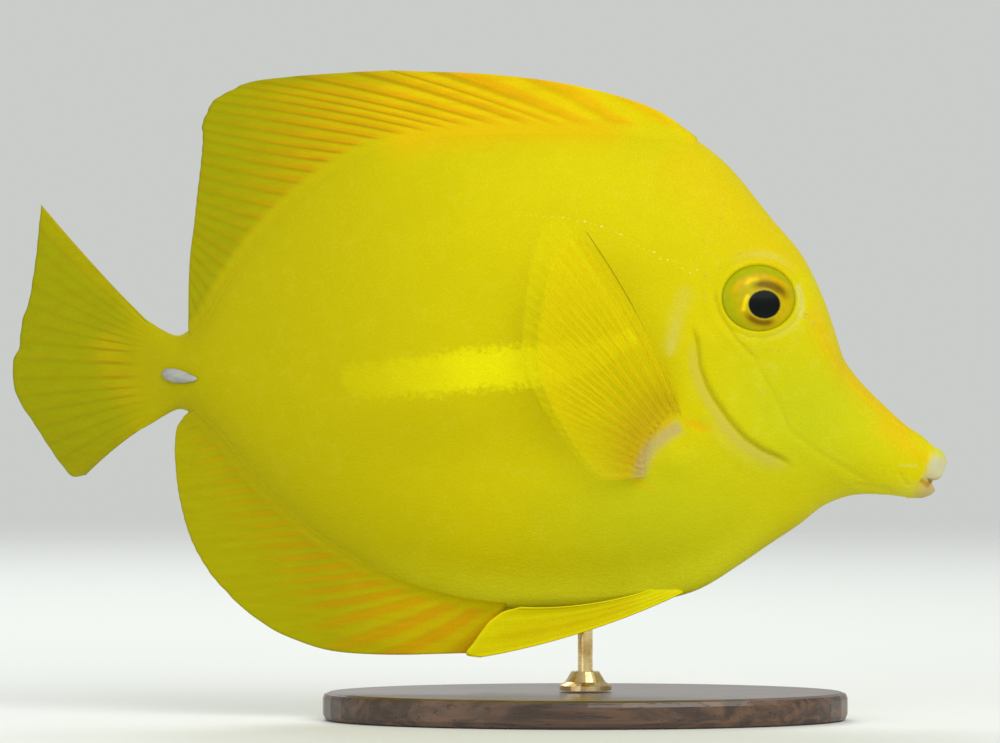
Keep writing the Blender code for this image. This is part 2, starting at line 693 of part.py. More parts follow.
trunk = flesh("trunk", finish=SKIN)
trunk_room = gill_edge(-GAP / 2)
trunk_room += [(STALK_X + GAP / 2, trunk_room[-1][1]), (STALK_X + GAP / 2, trunk_room[0][1])]
combine(trunk, "INTERSECT", prism("trunk_room", trunk_room))

stalk = flesh("tail_stalk", finish=SKIN)
stalk_edge = STALK_X - GAP / 2
combine(stalk, "INTERSECT", prism("stalk_room", [
    (stalk_edge, far), (stalk_edge, -far), (-far, -far), (-far, far)
]))

head = flesh("head", gills=True, finish=SKIN)
head_room = gill_edge(GAP / 2)
head_room += [(far, head_room[-1][1]), (far, head_room[0][1])]
combine(head, "INTERSECT", prism("head_room", head_room))
combine(head, "DIFFERENCE", prism("mouth_slit", MOUTH_SLIT))
for side in (-1, 1):
    combine(head, "UNION", eye_rim(side))
    combine(head, "DIFFERENCE", eyeball("socket", side, grow=GAP))
    for x, z, radius in NOSTRILS:
        combine(head, "DIFFERENCE", nostril(x, z, radius, side))

lip("lip_upper", **UPPER_LIP)
lip("lip_lower", **LOWER_LIP)
line_fin("dorsal_fin", DORSAL_RAYS, 5, DORSAL_ROWS, back_height, DORSAL_CROWD)
line_fin("anal_fin", ANAL_RAYS, 5, ANAL_ROWS, belly_height, ANAL_CROWD)
caudal_fin()
for side, name in ((-1, "right"), (1, "left")):
    eyeball(f"eye_{name}", side, finish=EYE)
    pectoral_fin(f"pectoral_fin_{name}", side)
    pelvic_fin(f"pelvic_fin_{name}", side)
    blade(f"tail_blade_{name}", side)
stand()

for cutter in list(cutters.objects):
    bpy.data.objects.remove(cutter)
bpy.data.collections.remove(cutters)
for piece in fish.objects:
    tidy(piece)
    shade(piece)
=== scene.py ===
"""The finished look of a life-size yellow tang on its display stand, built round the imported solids.

The fish faces +X, with its right side towards -Y. Places on it are given in side view, as a distance
along X and a height over the body axis. Lines and tables of places are written in millimetres, and single
sizes in metres, unless a comment says otherwise.
"""

import math

import bmesh
import bpy
import numpy as np
from mathutils import Matrix, Vector


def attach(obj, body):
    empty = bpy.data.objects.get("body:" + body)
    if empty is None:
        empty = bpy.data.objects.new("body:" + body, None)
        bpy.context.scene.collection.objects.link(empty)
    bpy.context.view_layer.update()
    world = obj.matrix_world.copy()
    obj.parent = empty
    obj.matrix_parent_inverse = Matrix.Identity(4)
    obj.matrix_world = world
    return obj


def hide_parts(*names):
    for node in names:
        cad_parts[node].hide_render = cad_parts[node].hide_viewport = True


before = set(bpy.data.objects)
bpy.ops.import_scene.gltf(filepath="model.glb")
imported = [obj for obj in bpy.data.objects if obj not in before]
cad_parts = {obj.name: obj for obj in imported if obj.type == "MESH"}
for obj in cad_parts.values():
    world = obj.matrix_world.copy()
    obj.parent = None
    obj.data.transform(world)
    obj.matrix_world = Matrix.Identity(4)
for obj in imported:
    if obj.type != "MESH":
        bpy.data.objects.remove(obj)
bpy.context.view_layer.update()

# The room: a pale floor that fades out into a pale background, with soft light from the upper front. The
# camera looks square at the fish's right side from 0.9 m, so that the fish fills the picture.
CAMERA_PLACE = Vector((0.00336, -0.9, 0.05574))
PICTURE_WIDTH = 0.160  # what the picture's width takes in at the fish
SENSOR_WIDTH = 36  # in mm
PALE, SPECK = (0.74, 0.76, 0.74), 0.98  # the room's colour, and the share of it in the floor's darker specks
FLOOR_RADIUS, FADE_FROM, FADE_TO = 1.6, 0.25, 1.4  # the floor fades out between the last two distances
WORLD_LIGHT = 0.80
LAMPS_AIM = Vector((0.005, 0, 0.055))
LAMPS = (  # name, place, width, power and colour
    ("key", (0.50, -0.80, 0.75), 0.9, 9.0, (1.0, 0.98, 0.94)),
    ("fill", (-0.75, -0.80, 0.35), 0.7, 2.5, (1, 1, 1)),
    ("back", (-0.2, 0.8, 0.8), 0.6, 5.0, (1, 1, 1)),
)


def put(tree, kind, inputs=None, **settings):
    """Adds one node, with its settings made and its inputs set or linked."""
    made = tree.nodes.new(kind if "Node" in kind else "ShaderNode" + kind)
    for name, value in settings.items():
        setattr(made, name, value)
    for name, value in (inputs or {}).items():
        if isinstance(value, bpy.types.NodeSocket):
            tree.links.new(value, made.inputs[name])
        else:
            made.inputs[name].default_value = value
    return made


def tinted(tree, share, under, over):
    """One colour laid over another by a share from 0 to 1."""
    inputs = {0: share, 6: under, 7: over}
    for key in (6, 7):
        if isinstance(inputs[key], tuple):
            inputs[key] = (*inputs[key], 1)
    return put(tree, "Mix", inputs, data_type="RGBA").outputs[2]


def reckoned(tree, operation, *values, clamp=False):
    """The result of one Math node."""
    inputs = dict(enumerate(values))
    return put(tree, "Math", inputs, operation=operation, use_clamp=clamp).outputs[0]


def ranged(tree, value, low, high, to_low=0.0, to_high=1.0):
    """A value spread smoothly from one range to another."""
    inputs = {"Value": value, "From Min": low, "From Max": high, "To Min": to_low, "To Max": to_high}
    return put(tree, "MapRange", inputs, interpolation_type="SMOOTHSTEP").outputs[0]


def times(tree, first, *others):
    """The product of several values."""
    for other in others:
        first = reckoned(tree, "MULTIPLY", first, other)
    return first


def place_of(tree):
    return put(tree, "TexCoord").outputs["Object"]


def noise(tree, scale, detail=2.0, stretch=None, **more):
    """A noise pattern in the object's own space, drawn out or pressed together where stretch says so."""
    place = place_of(tree)
    if stretch:
        place = put(tree, "Mapping", {"Vector": place, "Scale": stretch}).outputs[0]
    return put(tree, "TexNoise", {"Vector": place, "Scale": scale, "Detail": detail, **more}).outputs["Fac"]


def rough(tree, pattern, low, high):
    """A roughness that follows a pattern."""
    return ranged(tree, pattern, 0.2, 0.8, low, high)


def finish(name, roughness, metallic=0.0, **constants):
    """A new material: its node tree and its shader, with the constant values set on the shader."""
    material = bpy.data.materials.new(name)
    material.use_nodes = True
    tree = material.node_tree
    shader = tree.nodes["Principled BSDF"]
    shader.inputs["Roughness"].default_value = roughness
    shader.inputs["Metallic"].default_value = metallic
    for key, value in constants.items():
        shader.inputs[key.replace("_", " ")].default_value = value
    return material, tree, shader


def wire(tree, shader, **sources):
    """Links sources to the shader's inputs, named with _ for a space."""
    for key, source in sources.items():
        tree.links.new(source, shader.inputs[key.replace("_", " ")])


def bump(tree, height, distance, strength=1.0):
    inputs = {"Height": height, "Distance": distance, "Strength": strength}
    return put(tree, "Bump", inputs).outputs[0]


def placed(name, data):
    """A new object with this data, linked into the scene."""
    made = bpy.data.objects.new(name, data)
    bpy.context.scene.collection.objects.link(made)
    return made


def piece(name, mesh, material, slot, *replaced):
    """Links a finished mesh as a piece of the fish."""
    made = placed(name, mesh)
    mesh.materials.clear()
    mesh.materials.append(material)
    mesh.shade_smooth()
    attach(made, "root")
    if replaced:
        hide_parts(*replaced)


def mesh_of(points, faces):
    mesh = bpy.data.meshes.new("shape")
    mesh.from_pydata([tuple(point) for point in points], [], faces)
    mesh.validate()
    return mesh


def made_mesh(name, work):
    """A mesh of what has been made in a work space, which is then let go."""
    mesh = bpy.data.meshes.new(name)
    work.to_mesh(mesh)
    work.free()
    return mesh


def faced_out(mesh):
    """The same mesh with all its faces turned outwards."""
    work = bmesh.new()
    work.from_mesh(mesh)
    bmesh.ops.recalc_face_normals(work, faces=work.faces)
    work.to_mesh(mesh)
    work.free()
    return mesh


camera = placed("camera", bpy.data.cameras.new("camera"))
camera.location = CAMERA_PLACE
camera.rotation_euler = (math.pi / 2, 0, 0)
camera.data.sensor_width = SENSOR_WIDTH
camera.data.lens = SENSOR_WIDTH * -CAMERA_PLACE.y / PICTURE_WIDTH
bpy.context.scene.camera = camera
bpy.context.scene.view_settings.view_transform = "Standard"

work = bmesh.new()
bmesh.ops.create_circle(work, cap_ends=True, segments=96, radius=FLOOR_RADIUS)
floor = placed("floor", made_mesh("floor", work))
floor_finish, tree, shader = finish("floor", 0.7, Specular_IOR_Level=0.2)
reach = put(tree, "VectorMath", {0: place_of(tree)}, operation="LENGTH").outputs["Value"]
wire(
    tree, shader,
    Base_Color=tinted(tree, noise(tree, 900.0), tuple(SPECK * c for c in PALE), PALE),
    Alpha=ranged(tree, reach, FADE_FROM, FADE_TO, 1.0, 0.0),
)
floor.data.materials.append(floor_finish)

world = bpy.data.worlds.new("room")
world.use_nodes = True
world.node_tree.nodes["Background"].inputs["Color"].default_value = (*PALE, 1)
world.node_tree.nodes["Background"].inputs["Strength"].default_value = WORLD_LIGHT
bpy.context.scene.world = world

for name, place, width, power, colour in LAMPS:
    light = bpy.data.lights.new(name, "AREA")
    light.size, light.energy, light.color = width, power, colour
    lamp = placed(name, light)
    lamp.location = place
    lamp.rotation_euler = (LAMPS_AIM - Vector(place)).to_track_quat("-Z", "Y").to_euler()

# The stand: an oval walnut base, a brass rod that carries the fish by the belly, and a turned collar where
# the rod enters the wood. All three keep their solids.
WALNUT_DARK, WALNUT_LIGHT, WALNUT_PORE = (0.035, 0.016, 0.008), (0.115, 0.055, 0.026), (0.010, 0.005, 0.003)
BRASS_DEEP, BRASS_LIGHT = (0.50, 0.33, 0.12), (0.78, 0.60, 0.30)
GRAIN_STRETCH, PORE_STRETCH = (14.0, 210.0, 210.0), (120.0, 2600.0, 2600.0)  # both run along the base
BRUSH_STRETCH = (300.0, 300.0, 9000.0)  # brush marks that run round the rod

walnut, tree, shader = finish("walnut", 0.38, Coat_Weight=0.35, Coat_Roughness=0.18)
figure = noise(tree, 1.6, 5.0, GRAIN_STRETCH, Distortion=1.4)
open_pore = ranged(tree, noise(tree, 1.0, 2.0, PORE_STRETCH), 0.60, 0.70)
wood = tinted(tree, ranged(tree, figure, 0.36, 0.66), WALNUT_DARK, WALNUT_LIGHT)
wire(
    tree, shader,
    Base_Color=tinted(tree, times(tree, open_pore, 0.7), wood, WALNUT_PORE),
    Roughness=rough(tree, figure, 0.30, 0.46),
    Normal=bump(tree, times(tree, open_pore, -1.0), 0.00006),
)

brass, tree, shader = finish("brass", 0.26, 1.0)
brushed = noise(tree, 1.0, 3.0, BRUSH_STRETCH)
tarnish = noise(tree, 260.0, 4.0)
wire(
    tree, shader,
    Base_Color=tinted(tree, ranged(tree, tarnish, 0.35, 0.65), BRASS_DEEP, BRASS_LIGHT),
    Roughness=ranged(tree, brushed, 0.3, 0.7, 0.16, 0.34),
    Normal=bump(tree, brushed, 0.00001),
)

for node, material in (("stand_base", walnut), ("stand_rod", brass), ("stand_collar", brass)):
    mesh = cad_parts[node].data
    mesh.materials.clear()
    mesh.materials.append(material)

# The skin: one closed skin over the head, body and tail stalk, made as rings of points from tail to snout.
# Folds, the gill opening, the rims of the eyes and the ridges of the snout are raised and sunk in it.
AXIS_HEIGHT = 0.0555


def metres(*rows):
    """Rows of millimetres as rows of metres."""
    return tuple(tuple(value * 1e-3 for value in row) for row in rows)


BACK_LINE = metres(
    (-55.6, 10.0), (-52.6, 8.0), (-50.8, 6.9), (-48.2, 6.1), (-45.7, 7.7), (-41.1, 14.9), (-36.3, 21.6),
    (-29.0, 29.0), (-19.8, 35.2), (-7.0, 38.4), (10.0, 39.1), (27.0, 38.5), (35.0, 37.1), (38.9, 34.1),
    (46.6, 25.0), (53.3, 16.0), (55.4, 11.2), (56.9, 6.8), (58.3, 2.5), (59.7, 0.3), (62.0, -2.4), (65.2, -5.5),
    (68.4, -8.4), (71.4, -10.5), (72.2, -11.3), (72.9, -12.1),
)
BELLY_LINE = metres(
    (-55.6, -9.7), (-52.6, -8.1), (-50.8, -7.0), (-48.0, -5.8), (-43.2, -9.3), (-36.8, -16.8), (-29.9, -23.7),
    (-20.6, -30.1), (-11.0, -34.5), (0.2, -37.2), (14.0, -37.6), (27.4, -36.6), (35.4, -34.5), (41.8, -30.6),
    (46.6, -27.3), (51.4, -24.1), (55.0, -21.3), (58.7, -19.8), (65.4, -19.5), (69.8, -20.0), (71.2, -19.9),
    (71.9, -19.5), (72.3, -18.4), (72.6, -17.0), (72.9, -16.0),
)
WIDEST_LINE = metres(
    (-52.6, 0.0), (-46.0, 0.0), (-22.0, 1.3), (3.0, 3.0), (25.0, 3.7), (38.0, 3.3), (45.0, 1.2), (51.0, -3.0),
    (57.8, -10.0), (62.6, -12.5), (67.4, -14.3), (72.9, -14.7),
)
HALF_WIDTHS = metres(
    (-55.6, 0.3), (-52.6, 1.2), (-50.2, 1.9), (-46.2, 2.6), (-41.4, 3.2), (-33.4, 4.4), (-22.2, 6.2),
    (-9.4, 8.0), (3.4, 9.1), (16.2, 9.6), (25.8, 9.6), (33.8, 9.2), (38.6, 8.6), (45.0, 7.6), (51.4, 6.2),
    (57.8, 4.7), (62.6, 3.8), (67.4, 3.0), (70.4, 2.3), (72.2, 1.7), (72.9, 1.2),
)
KEEL = 1.25  # over 1 the sections come to an edge at the back and belly, as a lens does
SWAY_FROM_X, SWAY_TO_X, SWAY_ASIDE = 0.004, -0.0753, 0.0090
TRUNK_STATIONS, HEAD_STATIONS, HEAD_FROM_X = 150, 140, 0.0300
NOSE_CROWD = 1.15  # how much closer the rings stand towards the end of the snout
SMOOTH_EDGE = 0.06  # the share of a side by the back and the belly in which the relief fades out
SIDE_STEPS = 144  # points down one side of a ring
EDGE_CROWD = 0.55  # how much closer those points stand at the back and belly

EYE_PLACE = (0.0445, 0.0119)
EYE_HALVES = (0.0063, 0.0056, 0.0022)
EYE_DEPTH = 0.0010

# Lines on the flank, in side view
GILL_SLIT = (
    (33.6, 8.1), (34.1, 6.5), (34.6, 4.9), (35.0, 1.0), (36.2, -2.2), (37.4, -4.3), (38.6, -5.9),
    (39.7, -7.5), (42.2, -10.3), (45.0, -12.2), (47.9, -13.5), (50.5, -15.1),
)
EYE_FOLD = ((37.5, 14.1), (37.6, 12.5), (38.2, 10.0), (39.2, 8.1), (40.6, 5.9), (42.5, 3.8), (44.8, 1.6))
CHEEK_LINE = (
    (43.0, 3.6), (45.2, -0.2), (47.5, -4.3), (49.6, -9.1), (54.9, -13.0), (59.1, -15.5), (61.6, -16.9),
    (64.2, -18.7),
)
JAW_FOLD = ((67.0, -15.5), (67.8, -17.0), (68.9, -18.2))
CHIN_FOLD = ((59.5, -17.6), (62.5, -18.3), (66.5, -18.7))
SNOUT_RIDGE = ((50.6, 10.0), (52.8, 4.6), (55.6, -0.6), (60.5, -5.6), (66.5, -10.2))
GILL_PATCH = ((33.5, 14.7), (32.5, 12.4), (31.5, 9.2), (30.6, 5.2), (30.1, 2.5))
FIN_ROOT = ((32.4, -8.1), (29.7, -9.8), (27.3, -11.7), (26.1, -13.9), (25.4, -16.5))
SHOULDER = ((35.2, -7.8), (37.5, -10.2), (41.0, -13.5), (44.5, -15.5))


def through(points):
    """A smooth function of one number that passes through the (where, value) points."""
    places, values = (np.array(axis, float) for axis in zip(*sorted(points)))
    steps = np.diff(places)
    grades = np.diff(values) / steps
    between = (grades[:-1] * steps[1:] + grades[1:] * steps[:-1]) / (steps[:-1] + steps[1:])
    slopes = np.concatenate([grades[:1], between, grades[-1:]])

    def value(where):
        where = np.clip(where, places[0], places[-1])
        span = np.clip(np.searchsorted(places, where, side="right") - 1, 0, len(steps) - 1)
        step = steps[span]
        t = (where - places[span]) / step
        return (
            values[span] * (1 + 2 * t) * (1 - t) ** 2
            + slopes[span] * step * t * (1 - t) ** 2
            + values[span + 1] * t * t * (3 - 2 * t)
            + slopes[span + 1] * step * t * t * (t - 1)
        )

    return value


def eased(value, low, high):
    """0 below low, 1 above high, and smooth between them."""
    share = np.clip((value - low) / (high - low), 0, 1)
    return share * share * (3 - 2 * share)


back_height, belly_height = through(BACK_LINE), through(BELLY_LINE)
widest_height, widest_half = through(WIDEST_LINE), through(HALF_WIDTHS)
TAIL_END, NOSE_END = BACK_LINE[0][0], BACK_LINE[-1][0]


def sway(x):
    """How far the middle plane has swung towards +Y at this station."""
    share = np.maximum(0.0, (SWAY_FROM_X - x) / (SWAY_FROM_X - SWAY_TO_X))
    return SWAY_ASIDE * share * share


def standing(x, y, z):
    """Points of the straight fish, measured from its axis, put where they stand in the model."""
    return np.stack([x + 0 * y, y + sway(x), z + AXIS_HEIGHT + 0 * y], -1)


def half_width(x, z):
    """Half the body's width at a place of the side view."""
    middle = widest_height(x)
    reach = np.where(z > middle, back_height(x) - middle, middle - belly_height(x))
    share = np.minimum(np.abs(z - middle) / reach, 1.0)
    return widest_half(x) * (1 - share * share) ** (KEEL / 2)


def off_line(x, z, line):
    """Distance in side view from a drawn line, on which side of it, and the share along it. All in mm."""
    best, side, share = np.full(np.shape(x), 1e9), np.zeros(np.shape(x)), np.zeros(np.shape(x))
    lengths = [math.dist(a, b) for a, b in zip(line, line[1:])]
    walked = 0.0
    for (ax, az), (bx, bz), length in zip(line, line[1:], lengths):
        t = np.clip(((x - ax) * (bx - ax) + (z - az) * (bz - az)) / length ** 2, 0, 1)
        gap = np.hypot(x - ax - t * (bx - ax), z - az - t * (bz - az))
        nearer = gap < best
        turn = (bx - ax) * (z - az) - (bz - az) * (x - ax)
        best = np.where(nearer, gap, best)
        side = np.where(nearer, np.sign(turn), side)
        share = np.where(nearer, (walked + t * length) / sum(lengths), share)
        walked += length
    return best, side, share


def stroke(x, z, line, reach, taper=0.0):
    """1 on a drawn line, fading to 0 at reach, and fading out over the taper share of each end."""
    gap, _, share = off_line(x, z, line)
    value = 1 - eased(gap, 0, reach)
    if taper:
        value = value * eased(np.minimum(share, 1 - share), 0, taper)
    return value


def blob(x, z, centre, halves, turn=0.0):
    """1 in the middle of an oval patch in side view, fading to 0 at its edge."""
    c, s = math.cos(turn), math.sin(turn)
    u = ((x - centre[0]) * c + (z - centre[1]) * s) / halves[0]
    v = ((z - centre[1]) * c - (x - centre[0]) * s) / halves[1]
    return 1 - eased(np.hypot(u, v), 0, 1)


def bell(value, width):
    """1 where the value is 0, falling off smoothly on both sides."""
    return np.exp(-((value / width) ** 2))


def moved(line, right, up):
    """A drawn line moved aside."""
    return [(x + right, z + up) for x, z in line]


def from_middle(x, z, centre, halves):
    """Distance from the middle of an upright oval, where 1 is its edge."""
    return np.hypot((x - centre[0]) / halves[0], (z - centre[1]) / halves[1])


def round_eye(x, z):
    """The same for the eye, from places in mm."""
    return from_middle(x * 1e-3, z * 1e-3, EYE_PLACE, EYE_HALVES)


FOLDS = (  # a line, how far it fades out aside and the share of it that does at each end, and its height in mm
    (EYE_FOLD, 0.7, 0.15, -0.13), (moved(EYE_FOLD, -1.0, -0.7), 1.2, 0.15, 0.10),
    (CHEEK_LINE, 0.8, 0.12, -0.05), (moved(CHEEK_LINE, -1.3, -1.0), 1.8, 0.15, 0.08),
    (JAW_FOLD, 0.6, 0.10, -0.08), (CHIN_FOLD, 0.8, 0.15, -0.10),
    (GILL_PATCH, 1.6, 0.20, -0.10), (SHOULDER, 1.6, 0.25, 0.12),
)
SWELLS = (  # the middle, half sizes and turn of an oval patch, and its height in mm
    ((31.0, -13.5), (5.5, 4.5), -0.7, 0.35), ((35.4, -8.6), (2.6, 1.6), -0.4, -0.22),
    ((73.0, -17.4), (2.2, 0.7), -0.3, -0.7),
)
SNOUT_COMB = 1.1  # the gap between the fine ridges of the snout, in mm


def snout_comb(gap, side, share):
    """The fine ridges beside the snout's main one: a wave from -1 to 1, and where it shows."""
    shown = (side > 0) * (1 - eased(gap, 2.0, 4.5)) * eased(share, 0.02, 0.2)
    return np.cos(gap * math.tau / SNOUT_COMB), shown


def relief(x, z):
    """How far the skin stands off the plain body at a place of the side view. All in mm."""
    ring = round_eye(x, z)
    rise = 0.10 * bell(ring - 1.36, 0.14) - 1.5 * (1 - eased(ring, 0.80, 1.12))
    gap, side, share = off_line(x, z, GILL_SLIT)
    ends = eased(share, 0.0, 0.10) * (1 - eased(share, 0.86, 1.0))
    rise += ends * (0.42 * (side > 0) * bell(gap, 4.0) * eased(gap, 0.0, 0.5) - 0.20 * bell(gap, 0.42))
    gap, side, share = off_line(x, z, SNOUT_RIDGE)
    rise += 0.16 * (1 - eased(gap, 0, 1.5)) * eased(np.minimum(share, 1 - share), 0, 0.15)
    wave, shown = snout_comb(gap, side, share)
    rise += 0.035 * wave * shown
    for line, reach, taper, height in FOLDS:
        rise += height * stroke(x, z, line, reach, taper)
    for centre, halves, turn, height in SWELLS:
        rise += height * blob(x, z, centre, halves, turn)
    return rise


def way_out(x, z, side, step):
    """The way square out of the plain body at places of the side view."""
    along_x = (half_width(x + step, z) - half_width(x - step, z)) / (2 * step)
    along_z = (half_width(x, z + step) - half_width(x, z - step)) / (2 * step)
    out = np.stack([-along_x, side + 0 * x, -along_z], -1)
    return out / np.linalg.norm(out, axis=-1, keepdims=True)


def skin_places(x, z, side):
    """Places on the finished skin, and the way out from it, for arrays of side view places."""
    out = way_out(x, z, side, 0.0004)
    raised = relief(x * 1e3, z * 1e3) * 1e-3
    return standing(x, side * half_width(x, z), z) + out * raised[..., None], out


def stain(mesh, **values):
    """Keeps named numbers at the points of a mesh, for its material to read."""
    for name, value in values.items():
        layer = mesh.attributes.new(name, "FLOAT", "POINT")
        layer.data.foreach_set("value", np.ascontiguousarray(value, np.float32).ravel())


def side_view(mesh):
    """The points of a mesh as x, height over the axis in mm, and side."""
    co = np.empty(len(mesh.vertices) * 3, np.float32)
    mesh.vertices.foreach_get("co", co)
    x, y, z = co.reshape(-1, 3).astype(float).T
    return x * 1e3, (z - AXIS_HEIGHT) * 1e3, y - sway(x)


stations = np.concatenate([
    np.linspace(TAIL_END, HEAD_FROM_X, TRUNK_STATIONS, endpoint=False),
    NOSE_END + (HEAD_FROM_X - NOSE_END) * np.linspace(1, 0, HEAD_STATIONS) ** NOSE_CROWD,
])
fall = 1 - 2 * np.arange(SIDE_STEPS + 1) / SIDE_STEPS
fall = (1 - EDGE_CROWD) * fall + EDGE_CROWD * np.sin(np.pi / 2 * fall)
around = np.concatenate([fall, fall[-2:0:-1]])
side = np.concatenate([-np.ones(SIDE_STEPS + 1), np.ones(SIDE_STEPS - 1)])
X = stations[:, None] + 0 * around
middle, top, bottom = widest_height(X), back_height(X), belly_height(X)
Z = middle + around * np.where(around > 0, top - middle, middle - bottom)
share = np.abs(around) + 0 * X
Y = side * widest_half(X) * (1 - np.minimum(share, 1) ** 2) ** (KEEL / 2)
plain = standing(X, Y, Z)
lengthwise = np.gradient(plain, axis=0)
crosswise = np.roll(plain, -1, axis=1) - np.roll(plain, 1, axis=1)
out = np.cross(lengthwise, crosswise)
out /= np.linalg.norm(out, axis=-1, keepdims=True)
out *= np.sign(np.sum(out * np.stack([0 * X, Y, Z - middle], -1), axis=-1, keepdims=True) + 1e-9)
flank = eased(1 - share, 0.0, SMOOTH_EDGE)
points = plain + out * (relief(X * 1e3, Z * 1e3) * flank * 1e-3)[..., None]
rings, ring = points.shape[:2]
grid = np.arange(rings * ring).reshape(rings, ring)
a, b = grid[:-1], np.roll(grid[:-1], -1, axis=1)
c, d = np.roll(grid[1:], -1, axis=1), grid[1:]
faces = np.stack([a, d, c, b], -1).reshape(-1, 4).tolist()
faces += [grid[0].tolist(), grid[-1][::-1].tolist()]
skin_mesh = faced_out(mesh_of(points.reshape(-1, 3), faces))


def node_group(name, kind, takes, gives):
    """A new node group with named inputs and outputs, and the two nodes that hold them."""
    group = bpy.data.node_groups.new(name, kind)
    for sockets, way in ((takes, "INPUT"), (gives, "OUTPUT")):
        for socket, sort in sockets.items():
            group.interface.new_socket(socket, in_out=way, socket_type="NodeSocket" + sort)
    return group, group.nodes.new("NodeGroupInput").outputs, group.nodes.new("NodeGroupOutput").inputs


def read(tree, name):
    """A number that the mesh keeps under this name."""
    return put(tree, "Attribute", attribute_name=name).outputs["Fac"]


def layered(tree, colour, *layers):
    """A colour with others laid over it, each where the mesh keeps its mask."""
    for mask, over in layers:
        colour = tinted(tree, read(tree, mask), colour, over)
    return colour


def scale_group():
    """Fine scales: a pattern of small lapping cells, as a height and a shade."""
    gives = {"Height": "Float", "Shade": "Float"}
    group, given, result = node_group("fine_scales", "ShaderNodeTree", {"Cells": "Float"}, gives)
    turned = {"Vector": place_of(group), "Rotation": (0, 0.5, 0), "Scale": (1.0, 0.6, 1.25)}
    flat = put(group, "Mapping", turned).outputs[0]
    cells = put(group, "TexVoronoi", {"Vector": flat, "Scale": given["Cells"], "Randomness": 0.75})
    dome = ranged(group, cells.outputs["Distance"], 0.0, 0.75, 1.0, 0.0)
    grain, patch = noise(group, 5200.0), noise(group, 420.0, 3.0)
    group.links.new(reckoned(group, "ADD", dome, times(group, grain, 0.35)), result["Height"])
    shade = reckoned(group, "ADD", times(group, dome, 0.55), times(group, patch, 0.45))
    group.links.new(shade, result["Shade"])
    return group


LEMON, GREENISH, OLIVE = (0.62, 0.54, 0.001), (0.50, 0.53, 0.008), (0.34, 0.30, 0.001)
ORANGE, BAND, PALE_SKIN = (0.70, 0.45, 0.001), (0.84, 0.78, 0.002), (0.60, 0.60, 0.20)
# CREASE_SHADE is painted shade, laid along the creases of the head
PINK, CREASE_SHADE, MOUTH_ORANGE = (0.50, 0.40, 0.13), (0.30, 0.20, 0.005), (0.40, 0.20, 0.03)
# BELLY_BOUNCE_LIGHT is painted light: a paler colour laid along the bottom of the belly and throat for light
# bounced up from below
MOTTLE, BELLY_BOUNCE_LIGHT = (0.60, 0.60, 0.06), (0.84, 0.84, 0.02)
BETWEEN_SCALES, DULL_DRIFT = (0.24, 0.20, 0.0), (0.42, 0.38, 0.001)
LIP_PALE, LIP_MOTTLE = (0.47, 0.46, 0.29), (0.56, 0.54, 0.32)
LIP_GREEN, LIP_PINK = (0.54, 0.54, 0.05), (0.46, 0.34, 0.17)
GLOSS_TINT = (1.0, 0.82, 0.15, 1)  # the warm colour of the wet skin's gloss
SKIN_GLOSS = {"Specular_IOR_Level": 0.22, "Specular_Tint": GLOSS_TINT}


def hue_group():
    """The colour of bare skin, by how greenish, olive and orange it is at a place."""
    takes = {"Greenish": "Float", "Olive": "Float", "Orange": "Float"}
    group, given, result = node_group("skin_hues", "ShaderNodeTree", takes, {"Colour": "Color"})
    colour = tinted(group, given["Greenish"], LEMON, GREENISH)
    colour = tinted(group, given["Olive"], colour, OLIVE)
    group.links.new(tinted(group, given["Orange"], colour, ORANGE), result["Colour"])
    return group


def mouth_group():
    """The pale skin round the mouth, greener above and pinker below, with a fine mottle."""
    takes = {"Green": "Float", "Pink": "Float"}
    group, given, result = node_group("mouth_hues", "ShaderNodeTree", takes, {"Colour": "Color"})
    pale = tinted(group, ranged(group, noise(group, 900.0, 4.0), 0.3, 0.7, 0.0, 0.4), LIP_PALE, LIP_MOTTLE)
    pale = tinted(group, given["Green"], pale, LIP_GREEN)
    group.links.new(tinted(group, given["Pink"], pale, LIP_PINK), result["Colour"])
    return group


fine_scales, bare_skin, mouth_skin = scale_group(), hue_group(), mouth_group()


def scales(tree, cells):
    made = put(tree, "Group", node_tree=fine_scales)
    made.inputs["Cells"].default_value = cells
    return made.outputs["Height"], made.outputs["Shade"]


def coloured(tree, group, before=""):
    """The colour that a group gives, with each input read from the mesh under its own name."""
    made = put(tree, "Group", node_tree=group)
    for socket in made.inputs:
        tree.links.new(read(tree, before + socket.name.lower()), socket)
    return made.outputs["Colour"]


skin_finish, tree, shader = finish("skin", 0.46, **SKIN_GLOSS)
height, shade = scales(tree, 2300.0)
frayed = times(tree, reckoned(tree, "SUBTRACT", noise(tree, 1100.0, 3.0), 0.5), 0.7)
blotch = times(tree, ranged(tree, noise(tree, 420.0, 4.0, Roughness=0.6), 0.50, 0.72), read(tree, "mottled"))
colour = tinted(tree, blotch, coloured(tree, bare_skin), MOTTLE)
band = ranged(tree, reckoned(tree, "ADD", read(tree, "band"), frayed), 0.32, 0.66)
colour = tinted(tree, times(tree, band, read(tree, "bright")), colour, BAND)
colour = layered(
    tree, colour, ("under", BELLY_BOUNCE_LIGHT), ("pale", PALE_SKIN), ("pink", PINK),
    ("lip", coloured(tree, mouth_skin, "lip_")), ("mouth", MOUTH_ORANGE), ("dark", CREASE_SHADE),
)
shaded = tinted(tree, 0.10, colour, BETWEEN_SCALES)
lit = tinted(tree, ranged(tree, shade, 0.25, 0.75), shaded, colour)
drift = ranged(tree, noise(tree, 95.0, 3.0), 0.3, 0.7, 0.0, 0.14)
wire(
    tree, shader,
    Base_Color=tinted(tree, drift, lit, DULL_DRIFT),
    Roughness=rough(tree, shade, 0.52, 0.40),
    Normal=bump(tree, height, 0.00004, 0.7),
)

